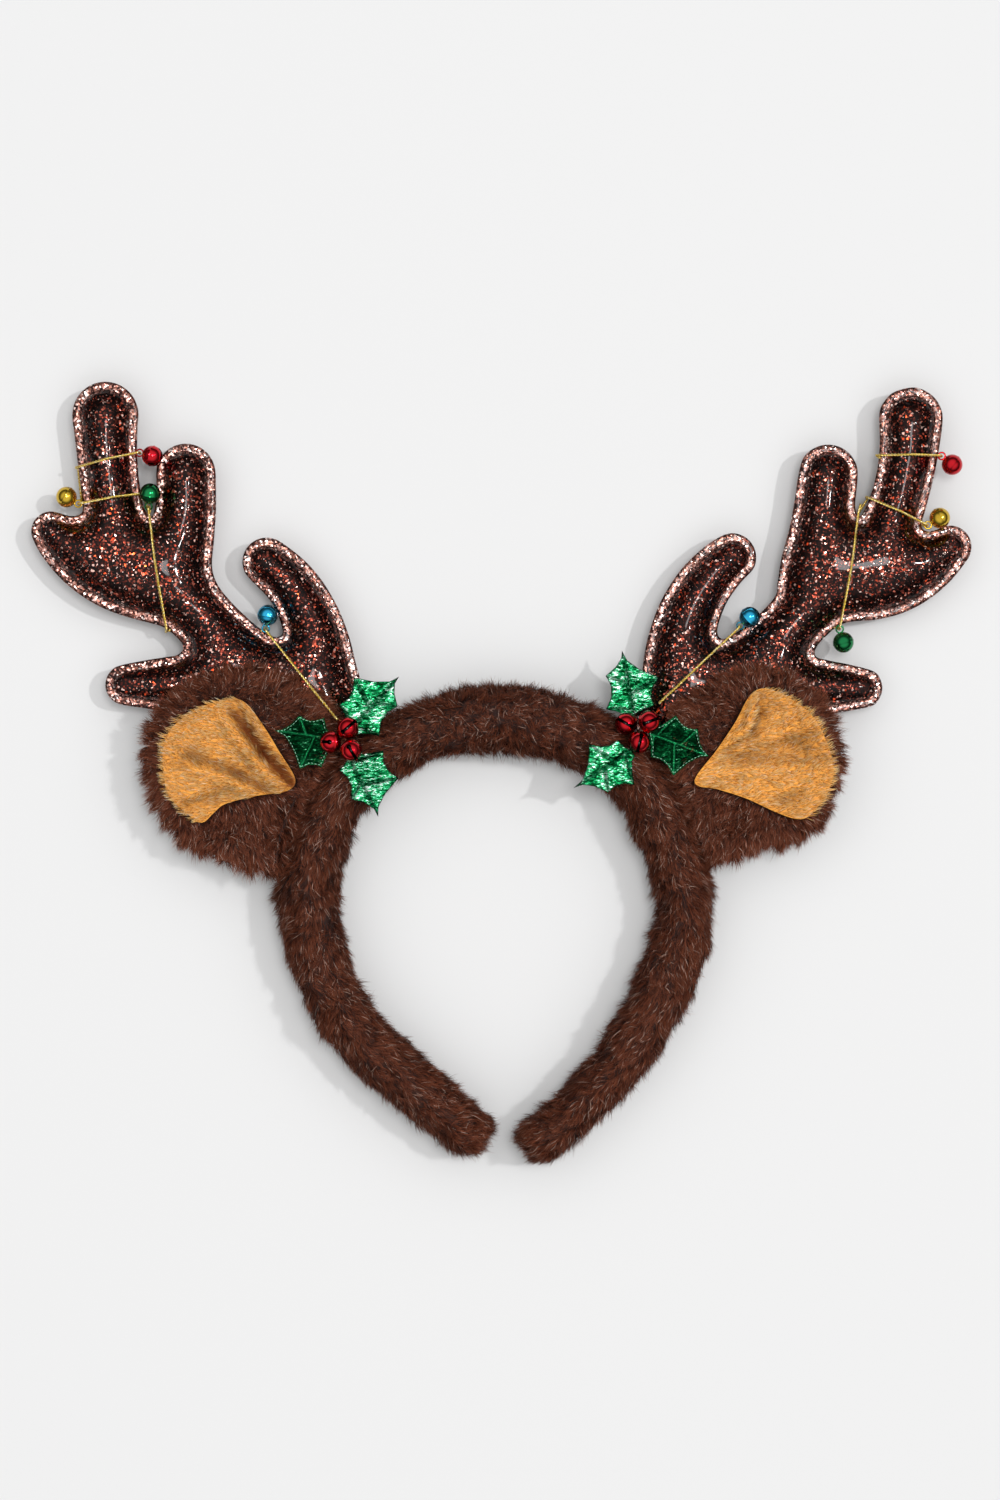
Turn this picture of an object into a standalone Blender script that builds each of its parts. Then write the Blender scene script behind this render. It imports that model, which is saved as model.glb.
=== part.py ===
"""A reindeer antler headband for a costume, as it lies on a table.

A C-shaped tube of shaggy fur takes the head. Two padded antlers of glitter vinyl and two
furry ears with a velvety lining are sewn to its shoulders, a sprig of holly with three
bell berries covers each seam, and a gold cord laces each antler and carries four bells.

Lengths are in metres. X runs to the right, Y from the open ends to the crown, Z up from
the table. Tables of sections and outlines hold shares of the named sizes.
"""
import math

import bmesh
import bpy
import numpy as np
from mathutils import Matrix, Vector
from mathutils.bvhtree import BVHTree
from mathutils.geometry import delaunay_2d_cdt

# The band
HEAD_WIDTH = 0.1115       # clear width between the two sides
BAND_DEPTH = 0.1515       # crown to open ends, along the middle line
BAND_WIDTH = 0.0255       # the fur tube seen from above
BAND_HEIGHT = 0.0300
ENDS_GAP = 0.0052         # between the two open ends
ENDS_BLEND = 0.0450       # how far back from an end that gap is taken up
FUR_LOCK_LENGTH = 0.0150
FUR_LOCK_DEPTH = 0.0021

# The antlers
ANTLER_HEIGHT = 0.1320    # sprig to the highest tip
ANTLER_REACH = 0.1125     # sprig to the outermost tip
TINE_WIDTH = 0.0241
TINE_BLEND = 0.0021       # how softly one tine runs into the next
FLANGE_WIDTH = 0.0035     # the flat welted rim
FLANGE_THICKNESS = 0.0018
ANTLER_LEVEL = 0.0112     # the rim's middle above the table
PUFF_HEIGHT = 0.0082      # the padding above and below the rim
PUFF_RUN = 0.0048         # how fast the padding swells away from the rim
ANTLER_PINCH = 0.60       # share of the padding that the ear's seam presses out
PINCH_RUN = 0.0120

# The ears
EAR_REACH = 0.0726
EAR_HEIGHT = 0.0752
EAR_LEVEL = 0.0205        # the ear's middle above the table, beside the sprig
EAR_TILT = 0.045          # it sinks by this share of the way down
EAR_EDGE = 0.0030         # thickness at the very edge
EAR_BELLY = 0.0080        # depth of the back of the ear
EAR_RIM_RISE = 0.0030
EAR_RIM_RUN = 0.0052      # edge to the top of the rolled rim
EAR_DISH = 0.0032
EAR_WALL = 0.0030
EAR_LOCK = 0.0021         # how far the locks of the rim stand out
LINING_THICKNESS = 0.0016
FOLD_HEIGHT = 0.0024

# The holly
LEAF_LENGTH = 0.0290
LEAF_THICKNESS = 0.0010
SPRIG_SEAT = 0.0030       # radius of the spot on the band that a sprig is sewn to
LEAF_FOLD = 0.16          # rise of a leaf's side for its distance from the midrib
BERRY_DIAMETER = 0.0080

# The gold cord and its bells
BELL_DIAMETER = 0.0076
BELL_WALL = 0.0004
SLOT_WIDTH = 0.0010
SLOT_DEPTH = 0.62         # share of the bell's radius that the slot cuts from below
LOOP_RADIUS = 0.0013
LOOP_WIRE = 0.0003
CORD_DIAMETER = 0.0009
CORD_STEP = 0.0075        # longest straight piece of the cord
CORD_PROBE = 0.0012       # spacing at which what it lies on is felt for

GAP = 0.0003              # clearance between neighbouring pieces
SEAT_GAP = 0.0005         # clearance round the band, whose cutter has flat facets
SPRIG_OUT = 0.96          # the sprigs' centres, as a share of the band's half width

# Detail of the meshes
BAND_RINGS = 78
BAND_SIDES = 16
CUTTER_RINGS = 64
CUTTER_SIDES = 26
OUTLINE_STEP = 0.0010
ANTLER_GRID = 0.0090
EAR_GRID = 0.0085
FIELD_START = (0.77, 1.05)       # outside the antler, as shares of its reach and height
# Longest and shortest straight run of an outline, and its sharpest turn in degrees
RIM_RUNS = (0.0095, 0.0035, 24.0)
WELT_RUNS = (0.0105, 0.0040, 28.0)
EAR_RUNS = (0.0100, 0.0050, 26.0)
FINE = 1e-5

# Middle line of the band from its left end to its right end.
# across: share of half the middle line's width, down: share of BAND_DEPTH,
# width: share of BAND_WIDTH
BAND_ROWS = (
    (-0.156, 1.012, 0.82),
    (-0.326, 0.948, 0.90),
    (-0.507, 0.863, 0.96),
    (-0.683, 0.786, 0.98),
    (-0.843, 0.699, 0.97),
    (-0.939, 0.607, 0.99),
    (-0.997, 0.511, 1.04),
    (-1.024, 0.414, 1.03),
    (-0.981, 0.313, 1.02),
    (-0.891, 0.205, 1.00),
    (-0.720, 0.108, 1.00),
    (-0.496, 0.041, 1.02),
    (-0.270, 0.004, 1.06),
    (-0.027, -0.008, 1.16),
    (0.240, 0.008, 1.13),
    (0.491, 0.048, 1.08),
    (0.731, 0.140, 1.05),
    (0.875, 0.260, 1.03),
    (0.960, 0.376, 0.99),
    (0.976, 0.458, 0.99),
    (0.939, 0.552, 1.03),
    (0.853, 0.646, 1.00),
    (0.677, 0.786, 0.94),
    (0.517, 0.880, 0.88),
    (0.381, 0.960, 0.86),
    (0.198, 1.034, 0.86),
)
SECTION_MIDDLE = 0.45     # height of the section's widest line, share of BAND_HEIGHT
END_SIZE = 0.76           # size of an end's blunt face, as a share of the section
END_ROUND = 0.24          # how far the blunt ends round off, share of BAND_WIDTH

# Where the sprigs sit along the band, as a share of its length, and the side they face
SIDES = {
    "left": {"turn": -1.0, "along": 0.388},
    "right": {"turn": 1.0, "along": 0.612},
}

# Tines of the antlers. Each is a bowed stroke: a root, a bend it leans to and a tip.
# out: share of ANTLER_REACH, up: share of ANTLER_HEIGHT, half: share of half TINE_WIDTH
TINES = {
    "left": {
        "stem": ((-0.02, -0.02, 1.20), (0.065, 0.110, 1.27), (0.195, 0.140, 1.27)),
        "beam": ((0.225, 0.145, 1.20), (0.470, 0.335, 0.76), (0.575, 0.475, 1.15)),
        "second": ((0.560, 0.470, 1.09), (0.495, 0.580, 0.88), (0.505, 0.745, 0.895)),
        "crown": ((0.705, 0.495, 1.03), (0.765, 0.690, 0.76), (0.763, 0.910, 1.00)),
        "outer": ((0.606, 0.440, 1.15), (0.806, 0.483, 1.33), (0.945, 0.590, 0.60)),
        "brow": ((0.065, 0.110, 1.09), (0.065, 0.387, 0.86), (0.247, 0.497, 0.73)),
        "low": ((0.314, 0.138, 1.20), (0.513, 0.167, 0.94), (0.711, 0.162, 0.61)),
    },
    "right": {
        "stem": ((0.026, -0.07, 1.20), (0.123, 0.075, 1.27), (0.253, 0.100, 1.27)),
        "beam": ((0.286, 0.108, 1.20), (0.520, 0.273, 0.76), (0.660, 0.420, 1.09)),
        "second": ((0.570, 0.420, 0.97), (0.612, 0.543, 0.91), (0.634, 0.698, 0.895)),
        "crown": ((0.765, 0.445, 0.97), (0.899, 0.625, 0.73), (0.905, 0.846, 0.97)),
        "outer": ((0.687, 0.402, 1.15), (0.864, 0.377, 1.21), (1.027, 0.492, 0.64)),
        "brow": ((0.133, 0.075, 1.09), (0.120, 0.350, 0.97), (0.318, 0.472, 0.73)),
        "low": ((0.334, 0.100, 1.20), (0.530, 0.113, 1.00), (0.734, 0.105, 0.61)),
    },
}

# Ears and their linings, seen from above, anticlockwise on the right and clockwise on
# the left. out: share of EAR_REACH, up: share of EAR_HEIGHT. The last three rows of an
# ear run inside the band, whose surface trims them.
EAR_OUTLINES = {
    "left": (
        (0.05, 0.136), (0.276, 0.316), (0.578, 0.354), (0.854, 0.233), (0.995, 0.024),
        (0.990, -0.218), (0.840, -0.476), (0.603, -0.583), (0.352, -0.646),
        (0.200, -0.583), (0.136, -0.290), (0.025, -0.073),
    ),
    "right": (
        (0.176, 0.073), (0.317, 0.180), (0.518, 0.277), (0.744, 0.262), (0.920, 0.131),
        (1.015, -0.087), (1.008, -0.270), (0.940, -0.447), (0.800, -0.545),
        (0.618, -0.590), (0.407, -0.640), (0.240, -0.570), (0.190, -0.257),
    ),
}
LINING_OUTLINES = {
    "left": (
        (0.895, 0.000), (0.890, -0.218), (0.804, -0.330), (0.704, -0.388), (0.618, -0.306),
        (0.417, -0.257), (0.245, -0.222), (0.300, -0.097), (0.412, 0.087), (0.512, 0.199),
        (0.653, 0.189), (0.804, 0.117),
    ),
    "right": (
        (0.271, -0.243), (0.442, -0.053), (0.558, 0.150), (0.668, 0.180), (0.859, 0.063),
        (0.955, -0.121), (0.965, -0.257), (0.879, -0.403), (0.769, -0.442),
        (0.593, -0.364), (0.457, -0.311),
    ),
}
# Folds of a lining: soft ridges between two points, with the ridge's half width as a
# share of EAR_REACH and its height as a share of FOLD_HEIGHT
LINING_FOLDS = {
    "left": (
        {"start": (0.50, 0.12), "end": (0.24, -0.20), "half": 0.060, "height": 1.0},
        {"start": (0.84, -0.09), "end": (0.52, -0.10), "half": 0.080, "height": 0.6},
        {"start": (0.80, 0.03), "end": (0.52, -0.01), "half": 0.070, "height": 0.5},
    ),
    "right": (
        {"start": (0.57, 0.12), "end": (0.33, -0.19), "half": 0.060, "height": 1.0},
        {"start": (0.92, -0.18), "end": (0.42, -0.21), "half": 0.080, "height": 0.7},
        {"start": (0.86, -0.04), "end": (0.56, -0.06), "half": 0.070, "height": 0.5},
    ),
}

# Holly leaves in the order they are laid. base, tip: out and up from the sprig's centre
# as shares of LEAF_LENGTH; spines: along the midrib and out from it, as shares of this
# leaf's length, near and far on the left side, then near and far on the right; lift:
# how far the tip stands above the stalk, as a share of this leaf's length.
HOLLY = {
    "left": (
        {"leaf": "side", "base": (0.12, -0.02), "tip": (0.87, 0.14), "lift": -0.08,
         "spines": ((0.12, 0.44), (0.46, 0.54), (0.24, -0.35), (0.64, -0.31))},
        {"leaf": "lower", "base": (-0.09, -0.18), "tip": (-0.42, -0.96), "lift": 0.20,
         "spines": ((0.14, 0.46), (0.60, 0.50), (0.14, -0.25), (0.60, -0.26))},
        {"leaf": "upper", "base": (-0.10, 0.07), "tip": (-0.70, 0.78), "lift": 0.02,
         "spines": ((0.20, 0.38), (0.61, 0.46), (0.22, -0.30), (0.68, -0.24))},
    ),
    "right": (
        {"leaf": "side", "base": (0.14, -0.01), "tip": (0.89, -0.35), "lift": -0.08,
         "spines": ((0.18, 0.37), (0.61, 0.49), (0.28, -0.36), (0.67, -0.30))},
        {"leaf": "lower", "base": (-0.07, -0.29), "tip": (-0.82, -0.72), "lift": 0.20,
         "spines": ((0.10, 0.27), (0.48, 0.43), (0.22, -0.41), (0.60, -0.31))},
        {"leaf": "upper", "base": (-0.09, 0.16), "tip": (-0.18, 0.99), "lift": -0.04,
         "spines": ((0.12, 0.37), (0.53, 0.50), (0.15, -0.35), (0.65, -0.29))},
    ),
}
LEAF_DROOP = 0.05         # how far a leaf's tip bends down, share of its length
SPINE_HOLLOW = 0.09       # how deep the edge dips between two spines, share of length

# Berries of a sprig: the heading of the first, and each one's slot, as compass headings
BERRY_START = {"left": 68.0, "right": 34.0}
BERRY_SLOTS = {
    "left": ((40.0, 75.0), (175.0, 35.0), (300.0, 60.0)),
    "right": ((20.0, 70.0), (150.0, 75.0), (255.0, 80.0)),
}

# The cord's way over each antler, as points chosen along it. out, up: shares of
# ANTLER_REACH and ANTLER_HEIGHT. kind: start on the sprig, edge where it turns round the
# rim, loop where it also carries a bell, end where it is tied off.
# bell: its colour, and the heading from loop to bell.
CORD_ROUTES = {
    "left": (
        {"at": (0.020, 0.055), "kind": "start"},
        {"at": (0.278, 0.288), "kind": "loop", "bell": "blue", "heading": 80.0},
        {"at": (0.575, 0.310), "kind": "edge"},
        {"at": (0.640, 0.590), "kind": "loop", "bell": "green", "heading": 80.0},
        {"at": (0.660, 0.688), "kind": "edge"},
        {"at": (0.822, 0.668), "kind": "loop", "bell": "gold", "heading": 150.0},
        {"at": (0.865, 0.765), "kind": "edge"},
        {"at": (0.680, 0.802), "kind": "loop", "bell": "red", "heading": -16.0},
    ),
    "right": (
        {"at": (0.070, 0.070), "kind": "start"},
        {"at": (0.333, 0.300), "kind": "loop", "bell": "blue", "heading": 42.0},
        {"at": (0.643, 0.292), "kind": "loop", "bell": "green", "heading": -75.0},
        {"at": (0.727, 0.565), "kind": "edge"},
        {"at": (0.765, 0.630), "kind": "edge"},
        {"at": (0.924, 0.557), "kind": "loop", "bell": "gold", "heading": 30.0},
        {"at": (0.790, 0.748), "kind": "edge"},
        {"at": (0.980, 0.745), "kind": "loop", "bell": "red", "heading": -40.0},
    ),
}

COLOURS = {
    "brown_fur": {"colour": (0.045, 0.022, 0.016, 1), "metallic": 0.0, "roughness": 0.95},
    "tan_velboa": {"colour": (0.72, 0.29, 0.055, 1), "metallic": 0.0, "roughness": 0.85},
    "glitter_vinyl": {"colour": (0.055, 0.017, 0.013, 1), "metallic": 0.0, "roughness": 0.15},
    "green_foil": {"colour": (0.004, 0.20, 0.07, 1), "metallic": 1.0, "roughness": 0.30},
    "red_bell": {"colour": (0.42, 0.005, 0.012, 1), "metallic": 1.0, "roughness": 0.22},
    "blue_bell": {"colour": (0.004, 0.18, 0.32, 1), "metallic": 1.0, "roughness": 0.22},
    "green_bell": {"colour": (0.002, 0.09, 0.04, 1), "metallic": 1.0, "roughness": 0.22},
    "gold_bell": {"colour": (0.42, 0.25, 0.03, 1), "metallic": 1.0, "roughness": 0.22},
    "gold_cord": {"colour": (0.60, 0.42, 0.07, 1), "metallic": 1.0, "roughness": 0.35},
}


# Scene and small helpers
def clear_scene():
    for thing in list(bpy.data.objects):
        bpy.data.objects.remove(thing, do_unlink=True)


def make_material(name):
    finish = COLOURS[name]
    material = bpy.data.materials.new(name)
    material.use_nodes = True
    shader = material.node_tree.nodes["Principled BSDF"]
    shader.inputs["Base Color"].default_value = finish["colour"]
    shader.inputs["Metallic"].default_value = finish["metallic"]
    shader.inputs["Roughness"].default_value = finish["roughness"]
    material.diffuse_color = finish["colour"]
    return material


def add_object(name, mesh, material, root, place=(0.0, 0.0, 0.0)):
    piece = bpy.data.objects.new(name, mesh)
    bpy.context.scene.collection.objects.link(piece)
    if material and not mesh.materials:
        mesh.materials.append(material)
    piece.parent = root
    piece.location = place
    return piece


def mesh_from(name, points, faces):
    mesh = bpy.data.meshes.new(name)
    mesh.from_pydata([tuple(float(v) for v in p) for p in points], [], faces)
    mesh.validate()
    return mesh


def cut_by(piece, cutter):
    cut = piece.modifiers.new("seat", "BOOLEAN")
    cut.operation = "DIFFERENCE"
    cut.solver = "EXACT"
    cut.object = cutter


def smooth_curve(rows, steps, closed=False):
    """Points on a Catmull-Rom curve through the rows, a few between each two of them."""
    rows = np.array(rows, float)
    if closed:
        ring = np.vstack([rows[-1], rows, rows[:2]])
    else:
        ring = np.vstack([2 * rows[0] - rows[1], rows, 2 * rows[-1] - rows[-2]])
    share = np.linspace(0.0, 1.0, steps, endpoint=False)[:, None]
    parts = []
    for a, b, c, d in zip(ring, ring[1:], ring[2:], ring[3:]):
        parts.append(0.5 * (2 * b + (c - a) * share + (2 * a - 5 * b + 4 * c - d) * share ** 2
                            + (3 * b - a - 3 * c + d) * share ** 3))
    if not closed:
        parts.append(rows[-1:])
    return np.vstack(parts)


def even_points(line, count):
    """The same line read at evenly spaced lengths."""
    run = np.concatenate([[0.0], np.cumsum(np.hypot(*np.diff(line[:, :2], axis=0).T))])
    wanted = np.linspace(0.0, run[-1], count)
    return np.column_stack([np.interp(wanted, run, column) for column in line.T])


def ease(share):
    share = np.clip(share, 0.0, 1.0)
    return share * share * (3.0 - 2.0 * share)


# The band
def band_line(count):
    half = (HEAD_WIDTH + BAND_WIDTH) / 2
    rows = [(across * half, -down * BAND_DEPTH, width * BAND_WIDTH)
            for across, down, width in BAND_ROWS]
    return even_points(smooth_curve(rows, 12), count)


def band_frame(line):
    """Unit vectors along the band and out of the C at each station."""
    along = np.gradient(line[:, :2], axis=0)
    along /= np.linalg.norm(along, axis=1)[:, None]
    outward = np.column_stack([-along[:, 1], along[:, 0]])
    return along, outward


def band_shape(rings, sides, lock_depth, grow):
    """Rings of points round the tube: a rounded section that stands flat on the table."""
    line = band_line(rings)
    _, outward = band_frame(line)
    run = np.concatenate([[0.0], np.cumsum(np.hypot(*np.diff(line[:, :2], axis=0).T))])
    chance = np.random.default_rng(7)
    low = -math.asin(SECTION_MIDDLE / (1 - SECTION_MIDDLE))
    angles = np.linspace(low, math.pi - low, sides)
    middle = SECTION_MIDDLE * BAND_HEIGHT
    shape = np.zeros((rings, sides, 3))
    for ring in range(rings):
        to_end = min(run[ring], run[-1] - run[ring]) / (END_ROUND * BAND_WIDTH)
        size = END_SIZE + (1 - END_SIZE) * math.sqrt(max(0.0, 1.0 - (1.0 - min(1.0, to_end)) ** 2))
        width = line[ring, 2] / 2 * size
        for side in range(sides):
            row = run[ring] / FUR_LOCK_LENGTH + 0.5 * (side % 2)
            tip = row - math.floor(row)
            carve = lock_depth * (1.0 - tip) * (0.7 + 0.6 * chance.random())
            across = math.cos(angles[side]) * (width - carve + grow)
            rise = (BAND_HEIGHT - middle) * size - carve + grow
            height = middle + math.sin(angles[side]) * rise
            on_floor = side in (0, sides - 1) and size > 1.0 - FINE
            if on_floor:
                height = -grow
            shape[ring, side, :2] = line[ring, :2] + outward[ring] * across
            shape[ring, side, 2] = max(height, -grow)
    close_ends(shape, run, grow)
    return shape


def close_ends(shape, run, grow):
    """Moves the two open ends sideways, fading along the tube, to leave their gap."""
    middle = 0.0
    near = max(2, int(len(run) * 0.08))
    left_shift = middle - ENDS_GAP / 2 + grow - shape[:near, :, 0].max()
    right_shift = middle + ENDS_GAP / 2 - grow - shape[-near:, :, 0].min()
    left_fade = 1.0 - ease(run / ENDS_BLEND)
    right_fade = 1.0 - ease((run[-1] - run) / ENDS_BLEND)
    shape[:, :, 0] += (left_fade * left_shift + right_fade * right_shift)[:, None]


def tube_mesh(name, shape):
    rings, sides, _ = shape.shape
    points = list(shape.reshape(-1, 3))
    faces = []
    for ring in range(rings - 1):
        for side in range(sides):
            beside = (side + 1) % sides
            first = ring * sides
            after = first + sides
            faces.append((first + side, first + beside, after + beside, after + side))
    for first, turned in ((0, True), ((rings - 1) * sides, False)):
        hub = len(points)
        points.append(shape[first // sides].mean(axis=0))
        for side in range(sides):
            pair = (first + side, first + (side + 1) % sides)
            faces.append((hub, pair[1], pair[0]) if turned else (hub, pair[0], pair[1]))
    return mesh_from(name, points, faces)


def outward_faces(mesh):
    work = bmesh.new()
    work.from_mesh(mesh)
    bmesh.ops.recalc_face_normals(work, faces=work.faces)
    work.to_mesh(mesh)
    work.free()
    return mesh


# Plan shapes: outlines, distances and plates
def stroke_distance(strokes, spots):
    """Signed distance to the union of bowed strokes, negative inside, softly blended."""
    share = np.linspace(0.0, 1.0, 25)[:, None]
    total = np.zeros(len(spots))
    for root, bend, tip in strokes:
        line = (1 - share) ** 2 * root + 2 * share * (1 - share) * bend + share ** 2 * tip
        away = np.hypot(spots[:, 0:1] - line[:, 0], spots[:, 1:2] - line[:, 1]) - line[:, 2]
        total += np.exp(-away.min(axis=1) / TINE_BLEND)
    return -TINE_BLEND * np.log(total + 1e-300)


def outline_depth(outline, spots):
    """How far each spot lies inside a closed outline, negative outside it."""
    start = outline
    step = np.roll(outline, -1, axis=0) - start
    rel = spots[:, None, :] - start[None]
    share = np.clip((rel * step).sum(2) / (step ** 2).sum(1), 0.0, 1.0)
    away = np.linalg.norm(rel - share[:, :, None] * step, axis=2).min(axis=1)
    rises = (start[:, 1] > spots[:, 1:2]) != (start[:, 1] + step[:, 1] > spots[:, 1:2])
    slope = np.where(np.abs(step[:, 1]) < 1e-12, 1e-12, step[:, 1])
    crossing = start[:, 0] + (spots[:, 1:2] - start[:, 1]) / slope * step[:, 0]
    inside = (rises & (spots[:, 0:1] < crossing)).sum(axis=1) % 2 == 1
    return np.where(inside, away, -away)


def slope_of(field, spot):
    reach = 2e-5
    near = spot + np.array([(reach, 0), (-reach, 0), (0, reach), (0, -reach)])
    a, b, c, d = field(near)
    return np.array([a - b, c - d]) / (2 * reach)


def settle(field, level, spot):
    """Moves a spot down or up a field's slope until it lies on the level."""
    for _ in range(6):
        slope = slope_of(field, spot)
        away = field(spot[None])[0] - level
        spot = spot - slope * away / max(slope @ slope, 0.05)
    return spot


def contour(field, level, spot):
    """Follows one level of a field all the way round, anticlockwise round low ground."""
    spot = settle(field, level, np.array(spot, float))
    first = spot
    line = [first]
    for turn in range(4000):
        slope = slope_of(field, spot)
        ahead = np.array([-slope[1], slope[0]]) / max(np.linalg.norm(slope), 1e-9)
        spot = settle(field, level, spot + ahead * OUTLINE_STEP)
        if turn > 20 and np.linalg.norm(spot - first) < OUTLINE_STEP:
            break
        line.append(spot)
    return np.array(line)


def thin_out(line, longest, shortest, sharpest):
    """Keeps few points on straight stretches and more of them where the line turns."""
    turn_limit = math.radians(sharpest)
    kept = [0]
    turned = 0.0
    for index in range(1, len(line) - 1):
        before = line[index] - line[index - 1]
        after = line[index + 1] - line[index]
        cross = before[0] * after[1] - before[1] * after[0]
        turned += abs(math.atan2(cross, before @ after))
        away = np.linalg.norm(line[index] - line[kept[-1]])
        if away >= longest or (turned >= turn_limit and away >= shortest):
            kept.append(index)
            turned = 0.0
    if len(kept) > 1 and np.linalg.norm(line[kept[-1]] - line[0]) < shortest:
        kept.pop()
    return line[kept]


def spread_points(low, high, spacing, keep):
    """A triangular grid of points over a box, of which keep(spots) says which stay."""
    rows = []
    height = spacing * math.sqrt(3) / 2
    for row, y in enumerate(np.arange(low[1], high[1], height)):
        xs = np.arange(low[0] + spacing / 2 * (row % 2), high[0], spacing)
        rows.append(np.column_stack([xs, np.full(len(xs), y)]))
    grid = np.vstack(rows)
    return grid[keep(grid)]


def plate_mesh(name, loops, inner, top, bottom):
    """A plate over the first loop. Its top and bottom are heights over the plan."""
    points = []
    edges = []
    for loop in loops:
        first = len(points)
        points.extend(Vector((x, y)) for x, y in loop)
        edges.extend((first + i, first + (i + 1) % len(loop)) for i in range(len(loop)))
    points.extend(Vector((x, y)) for x, y in inner)
    flat, _, cells, *_ = delaunay_2d_cdt(points, edges, [], 1, FINE)
    plan = np.array([(p.x, p.y) for p in flat])
    skin = []
    for a, b, c in cells:
        ab = plan[b] - plan[a]
        ac = plan[c] - plan[a]
        skin.append((a, b, c) if ab[0] * ac[1] - ab[1] * ac[0] > 0 else (a, c, b))
    used = {edge for cell in skin for edge in zip(cell, cell[1:] + cell[:1])}
    rim = [edge for edge in used if (edge[1], edge[0]) not in used]
    under = bottom(plan)
    over = top(plan)
    count = len(plan)
    solid = [(x, y, z) for (x, y), z in zip(plan, over)]
    solid += [(x, y, z) for (x, y), z in zip(plan, under)]
    faces = list(skin)
    faces += [(count + a, count + c, count + b) for a, b, c in skin]
    faces += [(b, a, count + a, count + b) for a, b in sorted(rim)]
    return mesh_from(name, solid, faces)


# Heights read from solids that are already placed
def tree_of(mesh, place):
    move = Vector(place)
    points = [vertex.co + move for vertex in mesh.vertices]
    return BVHTree.FromPolygons(points, [tuple(face.vertices) for face in mesh.polygons])


def surface_at(trees, x, y, upper=True):
    """Height of the highest top, or the lowest underside, over one spot; None if bare."""
    way = -1.0 if upper else 1.0
    start = Vector((x, y, -way))
    best = None
    for tree in trees:
        hit = tree.ray_cast(start, Vector((0, 0, way)))[0]
        if hit is not None and (best is None or (hit.z > best) == upper):
            best = hit.z
    return best


GOLDEN_ANGLE = math.pi * (3 - math.sqrt(5))
BALL_PROBES = 220
RING_OF_EIGHT = [(math.cos(k * math.pi / 4), math.sin(k * math.pi / 4)) for k in range(8)]


def wide_height(trees, x, y, reach, upper=True):
    """The extreme height within a small reach of a spot."""
    found = [surface_at(trees, x, y, upper)]
    for share in (0.5, 1.0):
        found += [surface_at(trees, x + dx * reach * share, y + dy * reach * share, upper)
                  for dx, dy in RING_OF_EIGHT]
    found = [height for height in found if height is not None]
    if not found:
        return None
    return max(found) if upper else min(found)


def ball_height(trees, x, y, radius):
    """Lowest centre of a ball that rests on the solids from above; None over bare table."""
    best = None
    for index in range(BALL_PROBES):
        share = math.sqrt((index + 0.5) / BALL_PROBES)
        around = index * GOLDEN_ANGLE
        under = surface_at(trees, x + math.cos(around) * radius * share,
                           y + math.sin(around) * radius * share)
        if under is not None:
            level = under + radius * math.sqrt(1.0 - share * share)
            best = level if best is None else max(best, level)
    return best


# The two sides: antler, ear and lining
def side_anchor(side):
    """The sprig's centre, on the outer shoulder of the band."""
    line = band_line(400)
    _, outward = band_frame(line)
    station = int(SIDES[side]["along"] * (len(line) - 1))
    return line[station, :2] + outward[station] * line[station, 2] / 2 * SPRIG_OUT


def side_point(side, pair, reach, height):
    return np.array([SIDES[side]["turn"] * pair[0] * reach, pair[1] * height])


def antler_strokes(side):
    strokes = []
    for tine in TINES[side].values():
        strokes.append([np.array([*side_point(side, row, ANTLER_REACH, ANTLER_HEIGHT),
                                  row[2] * TINE_WIDTH / 2]) for row in tine])
    return strokes


def ear_line(side, outlines):
    rows = [side_point(side, row, EAR_REACH, EAR_HEIGHT) for row in outlines[side]]
    line = smooth_curve(rows, 8, closed=True)
    x, y = line.T
    area = (x * np.roll(y, -1) - y * np.roll(x, -1)).sum()
    return line if area > 0 else line[::-1]


def antler_puff(side, ear, spots):
    """Height of the padding over the rim's plane at each spot of the plan."""
    depth = -stroke_distance(antler_strokes(side), spots)
    swell = 1.0 - np.exp(-np.maximum(depth - FLANGE_WIDTH, 0.0) / PUFF_RUN)
    pinch = ANTLER_PINCH * ease(outline_depth(ear, spots) / PINCH_RUN)
    return PUFF_HEIGHT * swell * (1.0 - pinch)


def build_antler(side, place, material, root, cutter):
    strokes = antler_strokes(side)
    ear = ear_line(side, EAR_OUTLINES)

    def field(spots):
        return stroke_distance(strokes, spots)

    start = side_point(side, FIELD_START, ANTLER_REACH, ANTLER_HEIGHT)
    edge = thin_out(contour(field, 0.0, start), *RIM_RUNS)
    welt = thin_out(contour(field, -FLANGE_WIDTH, start), *WELT_RUNS)
    ridge = ridge_points(strokes, field)
    palm = spread_points(edge.min(axis=0), edge.max(axis=0), ANTLER_GRID,
                         lambda grid: field(grid) < -FLANGE_WIDTH - ANTLER_GRID / 2)
    inner = apart(np.vstack([ridge, palm]), ANTLER_GRID * 0.6)
    half = FLANGE_THICKNESS / 2
    mesh = plate_mesh(
        f"antler_{side}", [edge, welt], inner,
        lambda plan: ANTLER_LEVEL + half + antler_puff(side, ear, plan),
        lambda plan: ANTLER_LEVEL - half - 0.85 * antler_puff(side, ear, plan))
    piece = add_object(f"antler_{side}", mesh, material, root, place)
    cut_by(piece, cutter)
    return tree_of(mesh, place), field


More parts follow.
